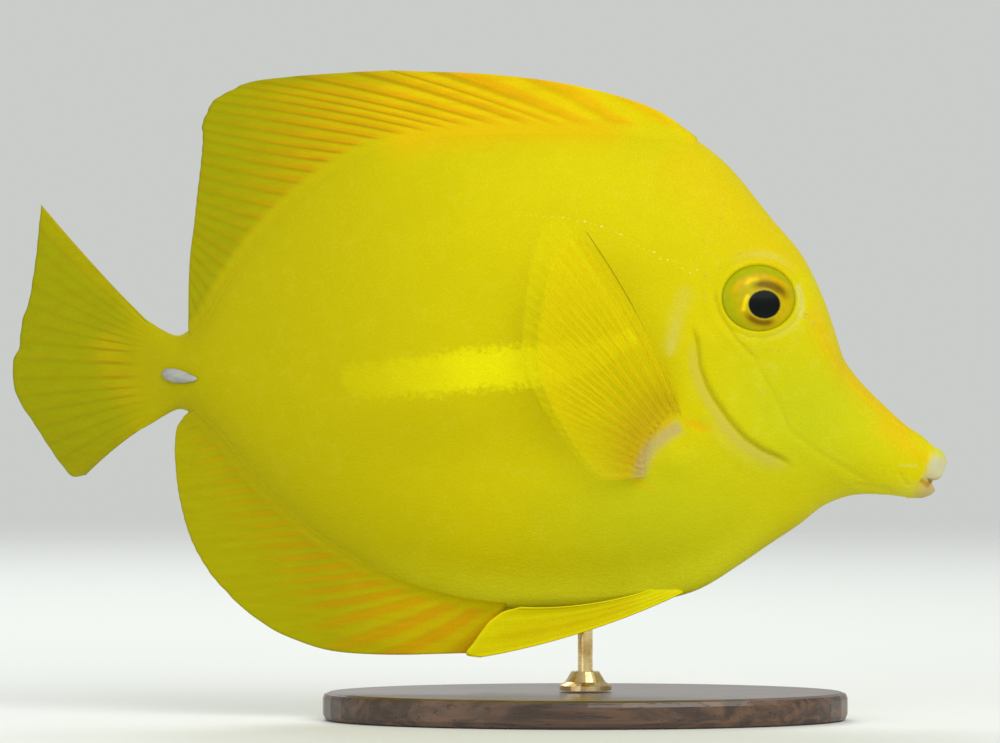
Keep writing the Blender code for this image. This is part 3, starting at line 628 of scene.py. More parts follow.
# The tones of the skin, in side view in mm: strokes each have a strength, a line, a reach and a taper.
BAND_MIDDLE = (
    (-19.4, -0.9), (-16.6, -1.1), (-11.8, -0.5), (-7.0, -0.3), (-2.2, 0.4), (4.2, 0.9), (9.0, 1.2),
    (15.4, 1.9), (20.2, 3.4), (24.0, 5.5),
)
BAND_HALVES = ((-23, -14, 4, 14, 20, 25), (2.2, 2.9, 3.2, 2.9, 2.0, 1.1))
BEHIND_GILL = moved(GILL_SLIT[1:], -0.8, -0.6)
ORANGE_STROKES = (
    (0.35, ((30, 37), (40, 27), (47, 19), (50, 14)), 9, 0.1),
    (0.80, ((-18, 37.0), (-4, 38.8), (10, 39.6), (26, 39.4)), 5.5, 0.15),
    (0.60, ((52.5, 12), (55, 6), (58, 0.5), (64, -5), (70, -10.5)), 2.3, 0.1),
    (0.55, ((64.5, -9.0), (68.0, -11.6), (71.0, -13.4)), 2.4),
    (0.75, moved(FIN_ROOT, -0.9, 0.8), 2.0, 0.1),
    (1.0, ((33.0, -7.8), (34.2, -8.2), (35.4, -8.8)), 0.95),
    (0.5, ((34.2, -8.2), (37.4, -8.9)), 0.7),
    (0.6, ((24.6, -17.0), (26.0, -17.6), (27.6, -18.2)), 0.6),
)
MOUTH_STROKES = (
    (0.95, ((70.3, -17.0), (71.3, -17.55), (72.1, -18.15)), 0.75, 0.15),
    (0.45, ((73.2, -17.2), (73.9, -16.9), (74.2, -16.3)), 0.4, 0.2),
)
PALE_STROKES = (
    (0.50, ((50.7, 14.4), (51.4, 11.2), (51.0, 8.6)), 0.9, 0.1),
    (0.35, ((66.8, -14.7), (68.4, -14.7), (70.2, -14.9)), 0.32, 0.2),
)
COMBED_STROKES = (
    (0.10, GILL_PATCH, 2.0, 0.2), (0.22, GILL_PATCH[-3:], 1.3, 0.2), (0.30, GILL_PATCH[-2:], 0.9, 0.1),
)
# The strokes behind the gill slit are partly the skin's own pinkish tan and partly painted shadow under the edge of
# the gill cover
PINK_AND_SHADOW_STROKES = (
    (0.14, GILL_PATCH, 2.2, 0.2), (0.34, BEHIND_GILL, 1.3, 0.15),
    (0.15, moved(BEHIND_GILL[4:], -0.8, -0.6), 2.2, 0.3), (1.15, FIN_ROOT, 1.7, 0.1),
)
# Painted shade along the gill slit, the fold by the eye, the cheek line and the jaw fold, where the skin creases
CREASE_SHADE_STROKES = (
    (0.38, GILL_SLIT, 0.42, 0.10), (0.26, EYE_FOLD, 0.50, 0.15), (0.12, CHEEK_LINE, 0.55, 0.15),
    (0.20, JAW_FOLD, 0.30, 0.2),
)


def strokes(x, z, drawn):
    """The sum of several strokes, each with its strength first."""
    return sum(strength * stroke(x, z, *rest) for strength, *rest in drawn)


def skin_hues(x, z):
    """How greenish, olive and orange the bare skin is."""
    wave, shown = snout_comb(*off_line(x, z, SNOUT_RIDGE))
    greenish = 0.9 * blob(x, z, (52, -7), (24, 17), -0.6) + 0.8 * blob(x, z, (30, -24), (32, 20))
    # Olive grows towards the tail and towards the lower rear: partly the fish's own tone, partly painted shade,
    # darker low and behind as under light from the upper front
    olive = 0.80 * eased(-x, -16, 46) + 0.28 * eased(-z - 0.25 * x, 8, 40) + 0.27 * eased(-x, 36, 52)
    return {
        "greenish": np.clip(greenish, 0, 1),
        "olive": 0.85 * np.clip(olive + 0.30 * blob(x, z, (-2, -9), (30, 10)), 0, 1),
        "orange": np.clip(strokes(x, z, ORANGE_STROKES) + 0.30 * (0.5 + 0.5 * wave) * shown, 0, 1),
    }


def mouth_tones(x, z):
    """Where the skin round the mouth is pale, and how green, pink and orange it is there."""
    upper = eased(x - 0.40 * (z + 13), 71.7, 73.3) * eased(z, -17.5, -17.1)
    lower = 0.85 * eased(x - 0.4 * (z + 19), 68.6, 71.8) * eased(-z, 17.3, 17.7)
    pink = 0.75 * eased(-z, 17.3, 17.6) + 0.55 * eased(-z - 0.5 * (x - 73), 15.6, 17.0)
    inside = 0.9 * blob(x, z, (72.1, -17.35), (0.8, 0.6))
    return {
        "lip": np.clip(0.96 * upper + lower, 0, 1),
        "lip_green": eased(z + 0.35 * (x - 74), -14.6, -12.6) * eased(z, -17.3, -17.0),
        "lip_pink": np.clip(pink, 0, 1),
        "mouth": np.clip(strokes(x, z, MOUTH_STROKES) + inside, 0, 1),
    }


def skin_tones(x, z):
    """All the tones of the skin of the body."""
    ring = round_eye(x, z)
    rise = z - belly_height(x * 1e-3) * 1e3
    # Painted light from below: the under mask pales the lower edge of the belly and the throat
    belly = 0.80 * (1 - eased(rise, 0, 8)) * eased(x, -22, 6) * (1 - eased(x, 34, 50))
    chin = 0.25 * (1 - eased(rise, 0, 5)) * eased(x, 52, 60) * (1 - eased(x, 68.5, 70.5))
    eye_ring = 0.30 * bell(ring - 1.24, 0.10) * blob(x, z, (46, 20), (8, 6))
    eye_ring = eye_ring + 0.30 * bell(ring - 1.14, 0.08) * blob(x, z, (49.5, 6.5), (6, 5))
    combed = 0.65 + 0.35 * np.cos((x - 0.55 * z) * math.tau / 0.75)
    pale = strokes(x, z, PALE_STROKES) + combed * strokes(x, z, COMBED_STROKES)
    return {
        **skin_hues(x, z),
        "under": belly + chin,
        "band": np.clip(1 - off_line(x, z, BAND_MIDDLE)[0] / (2 * np.interp(x, *BAND_HALVES)), 0, 1),
        "bright": 0.16 + 0.84 * eased(x, -18, 8),
        "mottled": np.clip(0.06 + 0.22 * blob(x, z, (50, 0), (20, 22), -0.6), 0, 1),
        "pale": np.clip(eye_ring + pale + 0.22 * eased(x, 64, 71) * eased(-z, 16.5, 19), 0, 1),
        "pink": np.clip(strokes(x, z, PINK_AND_SHADOW_STROKES), 0, 1),
        **mouth_tones(x, z),
        "dark": np.clip(strokes(x, z, CREASE_SHADE_STROKES), 0, 1),
    }


stain(skin_mesh, **skin_tones(*side_view(skin_mesh)[:2]))
piece("skin", skin_mesh, skin_finish, "skin", "head", "trunk", "tail_stalk")

# The upright fins: a thin web on each, with a low ridge over every ray, and a rod for the stem of each ray that
# stands a little proud on both faces. The first rays are stiff spines, and the feet of both fins run out into
# the back and the belly in a smooth hollow curve.
DORSAL_RAYS, DORSAL_CROWD = 30, 0.40
DORSAL_ROWS = metres(  # the root's x, the tip's x and height, and the bow, of a ray in each row
    (36.6, 34.7, 37.9, 0.0), (33.8, 28.2, 42.2, 0.1), (30.2, 17.8, 45.5, 0.2), (25.8, 3.4, 47.7, 0.3),
    (21.8, -9.4, 48.3, 0.4), (14.9, -18.2, 48.3, 0.6), (10.6, -28.2, 47.7, 0.7), (6.1, -35.7, 46.9, 0.7),
    (-0.2, -39.8, 45.4, 0.6), (-5.1, -42.6, 43.8, 0.5), (-10.2, -43.7, 41.9, 0.0), (-14.2, -44.5, 40.0, -0.4),
    (-18.7, -44.4, 38.0, -0.5), (-25.1, -44.7, 33.7, -0.3), (-30.9, -45.3, 28.6, -0.2),
    (-36.3, -45.8, 23.8, -0.1), (-41.1, -46.5, 17.9, 0.0), (-45.0, -46.7, 10.4, 0.0), (-46.4, -46.7, 7.5, 0.0),
)
ANAL_RAYS, ANAL_CROWD = 23, 0.30
ANAL_ROWS = metres(  # the same
    (5.9, -1.4, -44.8, 0.0), (2.6, -13.4, -45.1, -1.0), (-0.6, -23.0, -44.6, -1.0), (-4.6, -31.8, -41.8, -0.5),
    (-8.6, -37.6, -38.0, -0.7), (-12.6, -40.7, -35.0, -0.5), (-16.2, -42.8, -32.7, -0.6),
    (-19.4, -44.3, -30.5, -0.4), (-22.2, -45.4, -28.6, 0.0), (-27.8, -47.0, -24.7, 0.0),
    (-31.6, -47.9, -21.3, 0.0), (-35.4, -48.5, -18.0, 0.0), (-38.4, -48.8, -14.8, 0.0),
    (-41.2, -48.9, -11.6, 0.0), (-43.6, -48.5, -8.6, 0.0), (-45.2, -47.5, -7.1, 0.0),
)
FIN_SINK = 0.0018  # how deep the rays start in the flesh
FILLET_DEPTH = 0.0010  # how deep below the back or belly the hollow curve of a fin's foot begins
EDGE_ROUNDING = 0.0009  # how far from its free edge a web begins to round off
WEB_ROOT_HALF, WEB_TIP_LOSS = 0.00028, 0.00020  # half the thickness of a web at its root, and what it loses
LEAST_HALF = 0.00002  # half of what is left of a web at its very edge
RIDGE_THIN, RIDGE_THICK = 0.0006, 0.0012  # half thicknesses between which the ridges over the rays fade out
SCALLOP = 0.003  # the share of a ray by which the free edge is drawn in between rays
RAY_STEPS, RAY_SIDES = 26, 8


def walk(points):
    """How far along a line each of its points lies."""
    return np.concatenate([[0.0], np.cumsum([math.dist(a, b) for a, b in zip(points, points[1:])])])


def along(points, rows=None):
    """A smooth function of a share from 0 to 1 along a line of points, giving rows of numbers."""
    walked = walk(points)
    axes = [through(list(zip(walked / walked[-1], axis))) for axis in zip(*(rows or points))]
    return lambda share: [axis(share) for axis in axes]


def bowed(root, tip, bow, out):
    """Places on a ray whose middle stands off the straight line by bow, upwards."""
    run, rise = tip[0] - root[0], tip[1] - root[1]
    length = np.hypot(run, rise)
    lift = bow * 4 * out * (1 - out) / length
    return root[0] + run * out + rise * lift, root[1] + rise * out - run * lift


def upright_path(table, spaced_by, crowd=0.0, curl=0.0):
    """The path of a fin in the middle plane: its points for a share across the rays and out along them."""
    ray_at = along(spaced_by, table)

    def path(across, out):
        share = across * (1 + crowd * (1 - across))
        root_x, root_z, tip_x, tip_z, bow = ray_at(share)
        x, z = bowed((root_x, root_z), (tip_x, tip_z), bow, out)
        return standing(x, curl * (share * out) ** 2, z)

    return path


def beyond(x, z, height, up):
    """How far a place lies outside the back or belly line, square to it, and how much the line leans."""
    slope = (height(x + 0.0005) - height(x - 0.0005)) / 0.001
    lean = np.hypot(1, slope)
    return up * (z - height(x)) / lean, lean


def line_path(rows, height, up, crowd):
    """The path of a fin that springs from the back or the belly, with its roots sunk square to that line."""
    table = [(x, float(height(x) - up * FIN_SINK * beyond(x, 0.0, height, up)[1]), *rest) for x, *rest in rows]
    return upright_path(table, [row[:2] for row in table], crowd)


def web_mesh(path, rays, per_ray, rows, half_at, ridge):
    """A thin closed sheet along the path, with a low ridge on each ray and a rounded free edge."""
    across = np.linspace(0, 1, (rays - 1) * per_ray + 1)[:, None]
    out = np.linspace(0, 1, rows + 1)[None, :]
    across, out = across + 0 * out, out + 0 * across
    wave = 0.5 + 0.5 * np.cos(across * (rays - 1) * math.tau)
    middle = path(across, out * (1 - SCALLOP * (1 - wave)))
    square = np.cross(np.gradient(middle, axis=0), np.gradient(middle, axis=1))
    square /= np.linalg.norm(square, axis=-1, keepdims=True)
    steps = np.linalg.norm(np.diff(middle, axis=1, append=middle[:, -1:]), axis=-1)
    to_tip = np.cumsum(steps[:, ::-1], axis=1)[:, ::-1]
    walked = np.cumsum(np.linalg.norm(np.diff(middle, axis=0, prepend=middle[:1]), axis=-1), axis=0)
    edge = np.minimum(np.minimum(to_tip, np.minimum(walked, walked[-1] - walked)) / EDGE_ROUNDING, 1)
    half = half_at(middle[..., 0], middle[..., 2] - AXIS_HEIGHT, out)
    half = half + ridge * wave * (1 - eased(half, RIDGE_THIN, RIDGE_THICK))
    half = half * np.sqrt(1 - (1 - edge) ** 2) + LEAST_HALF
    square *= half[..., None]
    points = np.concatenate([(middle + square).reshape(-1, 3), (middle - square).reshape(-1, 3)])
    columns, high = across.shape
    grid = np.arange(columns * high).reshape(columns, high)
    a, b, c, d = grid[:-1, :-1], grid[1:, :-1], grid[1:, 1:], grid[:-1, 1:]
    front = np.stack([a, b, c, d], -1).reshape(-1, 4)
    below = columns * high
    rim = np.concatenate([grid[:-1, 0], grid[-1, :-1], grid[:0:-1, -1], grid[0, :0:-1]])
    after = np.roll(rim, -1)
    faces = front.tolist() + (front[:, ::-1] + below).tolist()
    faces += np.stack([rim, rim + below, after + below, after], -1).tolist()
    mesh = faced_out(mesh_of(points, faces))
    stain(mesh, across=np.tile((across * (rays - 1)).ravel(), 2), out=np.tile(out.ravel(), 2))
    return mesh


def kept(group, name, sort):
    """A value that the mesh keeps under this name, for a geometry tree."""
    return put(group, "GeometryNodeInputNamedAttribute", {"Name": name}, data_type=sort).outputs["Attribute"]


def painted(group, shape, given, result):
    """Ends a geometry tree: its shape is made real and takes the finish."""
    real = put(group, "GeometryNodeRealizeInstances", {"Geometry": shape}).outputs[0]
    ended = put(group, "GeometryNodeSetMaterial", {"Geometry": real, "Material": given["Finish"]})
    group.links.new(ended.outputs[0], result[0])


def ray_tree():
    """Turns a net of ray lines into oval rods, each as thick as the girth kept at its points."""
    takes = {"Lines": "Geometry", "Sides": "Int", "Depth": "Float", "Finish": "Material"}
    group, given, result = node_group("fin_rays", "GeometryNodeTree", takes, {"Rods": "Geometry"})
    girth = kept(group, "girth", "FLOAT")
    curve = put(group, "GeometryNodeMeshToCurve", {"Mesh": given["Lines"]}).outputs[0]
    upright = put(group, "GeometryNodeSetCurveNormal", {"Curve": curve}, mode="Z_UP").outputs[0]
    radius = put(group, "GeometryNodeSetCurveRadius", {"Curve": upright, "Radius": girth}).outputs[0]
    round_one = {"Resolution": given["Sides"], "Radius": 1.0}
    circle = put(group, "GeometryNodeCurvePrimitiveCircle", round_one).outputs["Curve"]
    thin = put(group, "CombineXYZ", {"X": given["Depth"], "Y": 1.0, "Z": 1.0}).outputs["Vector"]
    oval = put(group, "GeometryNodeTransform", {"Geometry": circle, "Scale": thin}).outputs[0]
    swept = {"Curve": radius, "Profile Curve": oval, "Scale": girth, "Fill Caps": True}
    painted(group, put(group, "GeometryNodeCurveToMesh", swept).outputs[0], given, result)
    return group


fin_rays = ray_tree()


def grown(tree, mesh, **inputs):
    """The plain mesh that a geometry tree makes of this mesh."""
    made = placed("growing", mesh)
    modifier = made.modifiers.new("grow", "NODES")
    modifier.node_group = tree
    keys = {item.name: item.identifier for item in tree.interface.items_tree if item.in_out == "INPUT"}
    for name, value in inputs.items():
        modifier[keys[name]] = value
    result = bpy.data.meshes.new_from_object(made.evaluated_get(bpy.context.evaluated_depsgraph_get()))
    bpy.data.objects.remove(made)
    return result


def ray_net(path, rays, spines, reach, root, tip):
    """Lines for the stems of the rays, with their girth: the first ones are spines, a little thicker."""
    points, edges, girths, outs, numbers = [], [], [], [], []
    for ray in range(rays):
        out = np.linspace(*reach, RAY_STEPS)
        across = np.clip(ray, 0.15, rays - 1.15) + 0 * out
        girth = (root + (tip - root) * out) * (1.1 if ray < spines else 1.0)
        first = len(points)
        points.extend(path(across / (rays - 1), out))
        edges.extend((i, i + 1) for i in range(first, first + RAY_STEPS - 1))
        girths.extend(girth * (1 - 0.8 * eased(out, reach[1] - 0.08, reach[1])))
        outs.extend(out)
        numbers.extend(across)
    mesh = bpy.data.meshes.new("net")
    mesh.from_pydata([tuple(point) for point in points], edges, [])
    stain(mesh, girth=np.array(girths), out=np.array(outs), across=np.array(numbers))
    return mesh


FIN_FRONT, FIN_REAR = (0.72, 0.52, 0.001), (0.298, 0.307, 0.001)
STRIPE_FRONT, STRIPE_REAR = (0.72, 0.39, 0.001), (0.42, 0.26, 0.001)
# FIN_SHADE_AND_DUSK darkens the fins in three ways: as painted shadow under each ray, as painted shade between the
# scales, and in the webs' own dusky streaks
FIN_SHADE_AND_DUSK = (0.20, 0.13, 0.001)
FIN_STRETCH = (160.0, 900.0, 900.0)  # the streaks of the webs run along the fish

fin_finish, tree, shader = finish("fin", 0.44, **SKIN_GLOSS)
height, shade = scales(tree, 3400.0)
rear = read(tree, "rear")
turn = times(tree, read(tree, "across"), math.tau)
on_ray = ranged(tree, reckoned(tree, "COSINE", turn), -1.0, 1.0)
shadow_below_ray = ranged(tree, reckoned(tree, "COSINE", reckoned(tree, "SUBTRACT", turn, 1.4)), 0.4, 1.0)
streak = noise(tree, 1.0, 3.0, FIN_STRETCH)
colour = tinted(tree, rear, FIN_FRONT, FIN_REAR)
stripe = tinted(tree, rear, STRIPE_FRONT, STRIPE_REAR)
colour = tinted(tree, times(tree, read(tree, "stripe"), on_ray), colour, stripe)
# Painted shadow: a dark line along the lower side of each ray, where its ridge would shade the web in light from
# above
colour = tinted(tree, times(tree, read(tree, "dusk"), shadow_below_ray), colour, FIN_SHADE_AND_DUSK)
colour = tinted(tree, ranged(tree, streak, 0.35, 0.70, 0.0, 0.12), colour, FIN_SHADE_AND_DUSK)
colour = layered(tree, colour, ("flesh", coloured(tree, bare_skin)), ("bright", BAND))
wire(
    tree, shader,
    Base_Color=tinted(tree, ranged(tree, shade, 0.3, 0.7, 0.10, 0.0), colour, FIN_SHADE_AND_DUSK),
    Roughness=rough(tree, shade, 0.52, 0.40),
    Normal=bump(tree, height, 0.00003, 0.6),
)


def footed(height, up):
    """Half the thickness of a web whose foot leaves the back or belly in a smooth hollow curve."""
    def half_at(x, z, out):
        gap, lean = beyond(x, z, height, up)
        depths = FILLET_DEPTH, FILLET_DEPTH + 0.0001
        near, deeper = (half_width(x, height(x) - up * depth * lean) for depth in depths)
        thin = WEB_ROOT_HALF - WEB_TIP_LOSS * out
        swell = np.maximum(near - thin, 0.00001)
        reach = swell * 0.0001 / (deeper - near)
        return thin + swell * np.exp(-np.maximum(gap + FILLET_DEPTH, 0) / reach)

    return half_at


def dorsal_tones(x, z):
    """Where the dorsal fin is dull, striped, painted with shadow under its rays and with a highlight, and bare,
    from places in mm as for all the fins.
    """
    gap = beyond(x * 1e-3, z * 1e-3, back_height, 1)[0] * 1e3
    # A painted highlight: along this stroke over the fin's front, the stripes and the shadow under the rays fade
    # and bare skin colour shows, as a lighter streak
    clear = 1 - 0.7 * stroke(x, z, ((19, 43.6), (24, 41.8), (32, 37.5)), 1.8, 0.25)
    margin = eased(z, 45.0, 48.0) * eased(-x, -4, 20)
    return {
        **skin_hues(x, z),
        "rear": np.clip(eased(-x, 2, 45) + 0.30 * margin, 0, 1),
        "stripe": np.clip(1 - 0.75 * eased(-x, 24, 42), 0, 1) * clear * (1 - 0.4 * margin),
        "dusk": (0.10 + 0.28 * eased(-x, -14, 12) - 0.28 * eased(-x, 22, 40)) * clear,
        "flesh": np.clip(2 - eased(gap, 0.2, 1.8) - clear, 0, 1),
        "bright": 0.18 * eased(x, 2, 20) * eased(gap, 0.2, 3),
    }


def anal_tones(x, z):
    gap = beyond(x * 1e-3, z * 1e-3, belly_height, -1)[0] * 1e3
    long = 5.5 + 10.0 * eased(x, -36, -12)
    near = 1 - eased(gap, 0.35 * long, 1.9 * long)
    return {
        **skin_hues(x, z),
        "rear": 0.86 - 0.56 * eased(x, -28, -4) * near,
        "stripe": near * (0.45 + 0.55 * eased(x, -42, -20)) * (1 - 0.7 * eased(-x, 42, 48)),
        "dusk": 0.10 * near,
        "flesh": 0.9 * (1 - eased(gap, 0.0, 1.2)),
    }


def make_fin(
    name, path, rays, tones, half_at, ridge, girths, spines=0, side="", columns=8, rows=56,
    reach=(0.0, 0.98), depth=1.4, web_finish=fin_finish, ray_finish=fin_finish,
):
    """The web and the stems of one fin. Girths are the half widths of a stem at its root and tip."""
    web = web_mesh(path, rays, columns, rows, half_at, ridge)
    net = ray_net(path, rays, spines, reach, *girths)
    stems = grown(fin_rays, net, Sides=RAY_SIDES, Depth=depth, Finish=ray_finish)
    for mesh in (web, stems):
        stain(mesh, **tones(*side_view(mesh)[:2]))
    piece(f"{name}_web{side}", web, web_finish, "fin", f"{name}_fin{side}")
    piece(f"{name}_rays{side}", stems, ray_finish, "fin")


dorsal_path = line_path(DORSAL_ROWS, back_height, 1, DORSAL_CROWD)
make_fin(
    "dorsal", dorsal_path, DORSAL_RAYS, dorsal_tones, footed(back_height, 1),
    ridge=0.00007, girths=(0.00028, 0.00012), spines=5,
)
anal_path = line_path(ANAL_ROWS, belly_height, -1, ANAL_CROWD)
make_fin(
    "anal", anal_path, ANAL_RAYS, anal_tones, footed(belly_height, -1),
    ridge=0.00005, girths=(0.00027, 0.00012), spines=3,
)

# The tail fin: a stiff fan that carries on the flesh of the tail stalk, olive in the middle, with a warmer
# arc across its root and both its edges.
CAUDAL_RAYS, CAUDAL_CURL = 17, 0.0045
CAUDAL_ROOT_X, CAUDAL_TIP_LOSS = -0.0520, 0.00019
CAUDAL_ROWS = metres(  # the root's height, the tip's x and height, and the bow
    (6.9, -70.7, 27.2, -0.3), (6.5, -71.1, 23.5, -0.5), (5.9, -71.5, 19.5, -0.6), (5.3, -72.1, 15.4, -0.5),
    (4.6, -72.9, 11.2, -0.4), (4.1, -73.8, 8.8, -0.3), (3.6, -74.2, 6.4, -0.2), (2.6, -74.5, 3.9, 0.0),
    (1.3, -75.4, 2.2, 0.0), (-0.1, -75.5, 0.0, 0.0), (-1.3, -75.4, -2.0, 0.0), (-2.2, -74.6, -4.3, 0.1),
    (-3.8, -72.1, -8.2, 0.2), (-5.2, -69.6, -12.1, 0.3), (-6.2, -67.4, -15.2, 0.4), (-6.8, -65.8, -16.8, 0.4),
    (-7.5, -63.7, -16.5, 0.4),
)
ROOT_WIDTHS = metres(
    (-64.0, 0.0), (-61.0, 0.05), (-58.5, 0.2), (-56.5, 0.42), (-54.5, 0.7), (-53.5, 0.86), (-52.6, 1.0),
    (-51.5, 1.05),
)
ROOT_REACH = metres(
    (-64.0, 19.0), (-60.0, 15.2), (-55.6, 10.1), (-52.6, 8.1), (-50.8, 7.0),
)

root_width, root_reach = through(ROOT_WIDTHS), through(ROOT_REACH)


def caudal_half(x, z, out):
    """The tail web carries on the flesh of the stalk and thins out from there."""
    share = np.minimum(np.abs(z) / root_reach(x), 1)
    web = (WEB_ROOT_HALF - CAUDAL_TIP_LOSS * out) * eased(-x, 0.0530, 0.0560)
    return web + root_width(x) * (1 - share * share) ** (KEEL / 2)


def caudal_tones(x, z):
    edge = stroke(x, z, ((-52, 8.5), (-60, 15), (-71, 27.4)), 3.5)
    edge = edge + stroke(x, z, ((-52, -8.5), (-58, -13), (-64, -17)), 3.5)
    arc = stroke(x, z, ((-61.0, 7.5), (-58.8, 3.0), (-56.5, -1.5), (-54.5, -6.0)), 5.5, 0.2)
    middle = 1 - eased(np.abs(z + 0.2 * x + 14), 6, 16)
    return {
        **skin_hues(x, z),
        "rear": np.clip(1.0 - 0.12 * edge - 0.22 * arc, 0, 1),
        "stripe": np.clip(0.15 * edge + 0.35 * arc + 0.10, 0, 1),
        # Painted shadow under the rays, deeper in the tail's middle and across its root arc
        "dusk": 0.06 + 0.09 * middle * (1 - eased(-x, 68, 74)) + 0.28 * arc,
        "flesh": eased(x, -59, -53),
    }


caudal_table = [(CAUDAL_ROOT_X, *row) for row in CAUDAL_ROWS]
caudal_path = upright_path(caudal_table, [row[2:4] for row in caudal_table], curl=CAUDAL_CURL)
make_fin(
    "caudal", caudal_path, CAUDAL_RAYS, caudal_tones, caudal_half, ridge=0.00004, girths=(0.00019, 0.00009),
)

# The pectoral fins: a clear fan on each side that springs from a fleshy pink root behind the gill, and shows the
# flank between its fine orange rays. Each ray branches once, which its web's colour shows.
SIDES = ((-1, "right"), (1, "left"))  # which way along Y each side lies, and its name
PECTORAL_RAYS = 15
PECTORAL_ROOTS = metres(
    (32.7, -8.7), (30.1, -10.3), (27.8, -12.1), (26.7, -14.1), (26.0, -16.6),
)
PECTORAL_TIPS = metres(
    (16.5, 22.8), (14.4, 24.2), (12.4, 24.9), (10.7, 23.8), (9.5, 21.9), (8.5, 18.9), (7.3, 11.9), (6.9, 4.0),
    (7.7, 0.1), (9.3, -4.2), (11.7, -8.2), (14.4, -12.1), (16.8, -14.9), (19.2, -17.0),
)
PECTORAL_BOW, PECTORAL_LIFT, PECTORAL_FLARE = 0.0014, 0.0007, 0.0085
PECTORAL_NECK = 0.14  # the share of a ray that comes up out of the flank
PECTORAL_SINK, PECTORAL_DEEP = 0.0012, 0.0006  # how far the roots start back along the ray, and inside the skin

pectoral_roots, pectoral_tips = along(PECTORAL_ROOTS), along(PECTORAL_TIPS)


def pectoral_path(side):
    def path(across, out):
        (root_x, root_z), (tip_x, tip_z) = pectoral_roots(across), pectoral_tips(across)
        sunk = PECTORAL_SINK / np.hypot(tip_x - root_x, tip_z - root_z)
        root = root_x - (tip_x - root_x) * sunk, root_z - (tip_z - root_z) * sunk
        start = half_width(root_x, root_z)
        x, z = bowed(root, (tip_x, tip_z), PECTORAL_BOW * (1 - across), out)
        flat = half_width(x, z)
        neck = eased(out, 0, PECTORAL_NECK)
        lift = (PECTORAL_LIFT + PECTORAL_DEEP) * neck - PECTORAL_DEEP
        share = np.maximum(0, (out - PECTORAL_NECK) / (1 - PECTORAL_NECK))
        flare = PECTORAL_FLARE * (1 - 0.45 * across) * share ** 0.8
        return standing(x, side * (flat * (1 - neck) + start * neck + lift + flare), z)

    return path


PECT_LINE, PECT_GAP, PECT_PINK = (0.74, 0.56, 0.002), (0.77, 0.70, 0.002), (0.62, 0.45, 0.16)
PECT_BLUSH, PECT_EDGE = (0.66, 0.37, 0.015), (0.26, 0.20, 0.002)
CLEAR_GLOSS = {"Specular_IOR_Level": 0.15, "Specular_Tint": GLOSS_TINT}
RAY_STRETCH = (700.0, 700.0, 260.0)


def thinning(root, tip):
    """Half the thickness of a web that thins out evenly from its root to its tip."""
    return lambda x, z, out: root + (tip - root) * out


def mingled(tree, factor, first, second):
    """One value turning into another by a factor."""
    rest = reckoned(tree, "SUBTRACT", 1.0, factor)
    return reckoned(tree, "ADD", times(tree, first, rest), times(tree, second, factor))


pect_web, tree, shader = finish("clear_web", 0.40, **CLEAR_GLOSS)
out_share, across = read(tree, "out"), read(tree, "across")
turn = times(tree, across, math.tau)
one = ranged(tree, reckoned(tree, "COSINE", turn), -1.0, 1.0)
two = ranged(tree, reckoned(tree, "COSINE", times(tree, turn, 2.0)), 1.0, -1.0)
lines = mingled(tree, ranged(tree, out_share, 0.25, 0.60, 0.0, 0.8), one, two)
fray = noise(tree, 260.0)
margin = ranged(tree, out_share, 0.87, 0.92)
front_edge = times(
    tree, ranged(tree, across, 0.03, 0.14, 1.0, 0.0), ranged(tree, out_share, 0.42, 0.66),
    ranged(tree, out_share, 0.96, 1.0, 1.0, 0.0),
)
colour = tinted(tree, lines, PECT_GAP, PECT_LINE)
colour = tinted(tree, margin, colour, PECT_GAP)
colour = tinted(tree, times(tree, read(tree, "blush"), lines), colour, PECT_BLUSH)
colour = layered(tree, colour, ("root", PECT_PINK))
solid = times(
    tree, ranged(tree, lines, 0.0, 1.0, 0.28, 0.54), ranged(tree, margin, 0.0, 1.0, 1.0, 0.30),
    read(tree, "body"), ranged(tree, out_share, 0.07, 0.14),
)
solid = reckoned(tree, "MAXIMUM", solid, times(tree, front_edge, 0.75))
frayed = ranged(tree, fray, 0.2, 0.8, 0.92, 1.08)
wire(
    tree, shader,
    Base_Color=tinted(tree, front_edge, colour, PECT_EDGE),
    Alpha=reckoned(tree, "MULTIPLY", solid, frayed, clamp=True),
    Roughness=rough(tree, fray, 0.38, 0.50),
    Normal=bump(tree, lines, 0.00002, 0.4),
)

pect_ray, tree, shader = finish("clear_ray", 0.40, **CLEAR_GLOSS)
out_share = read(tree, "out")
grain = noise(tree, 1.0, 3.0, RAY_STRETCH)
colour = tinted(tree, ranged(tree, grain, 0.3, 0.7, 0.0, 0.25), PECT_LINE, PECT_BLUSH)
fading = ranged(tree, out_share, 0.15, 0.66, 0.42, 0.0)
wire(
    tree, shader,
    Base_Color=layered(tree, colour, ("root", PECT_PINK)),
    Alpha=times(tree, read(tree, "body"), fading, ranged(tree, out_share, 0.10, 0.20)),
    Roughness=rough(tree, grain, 0.38, 0.50),
    Normal=bump(tree, grain, 0.00002, 0.5),
)


def pectoral_tones(x, z):
    gap = off_line(x, z, [(a * 1e3, b * 1e3) for a, b in PECTORAL_ROOTS])[0]
    return {
        "root": 0.9 * (1 - eased(gap, 1.0, 2.4)),
        "blush": 0.95 * (1 - eased(gap, 2.0, 11.0)),
        "body": 0.35 + 0.65 * eased(z + 0.45 * x, -7, 5) + 0.35 * (1 - eased(gap, 1, 6)),
    }


for side, name in SIDES:
    make_fin(
        "pectoral", pectoral_path(side), PECTORAL_RAYS, pectoral_tones, thinning(0.00018, 0.00006),
        ridge=0.00006, girths=(0.00022, 0.00012), spines=1, side="_" + name, columns=12, rows=60,
        reach=(0.03, 0.72), depth=1.25, web_finish=pect_web, ray_finish=pect_ray,
    )

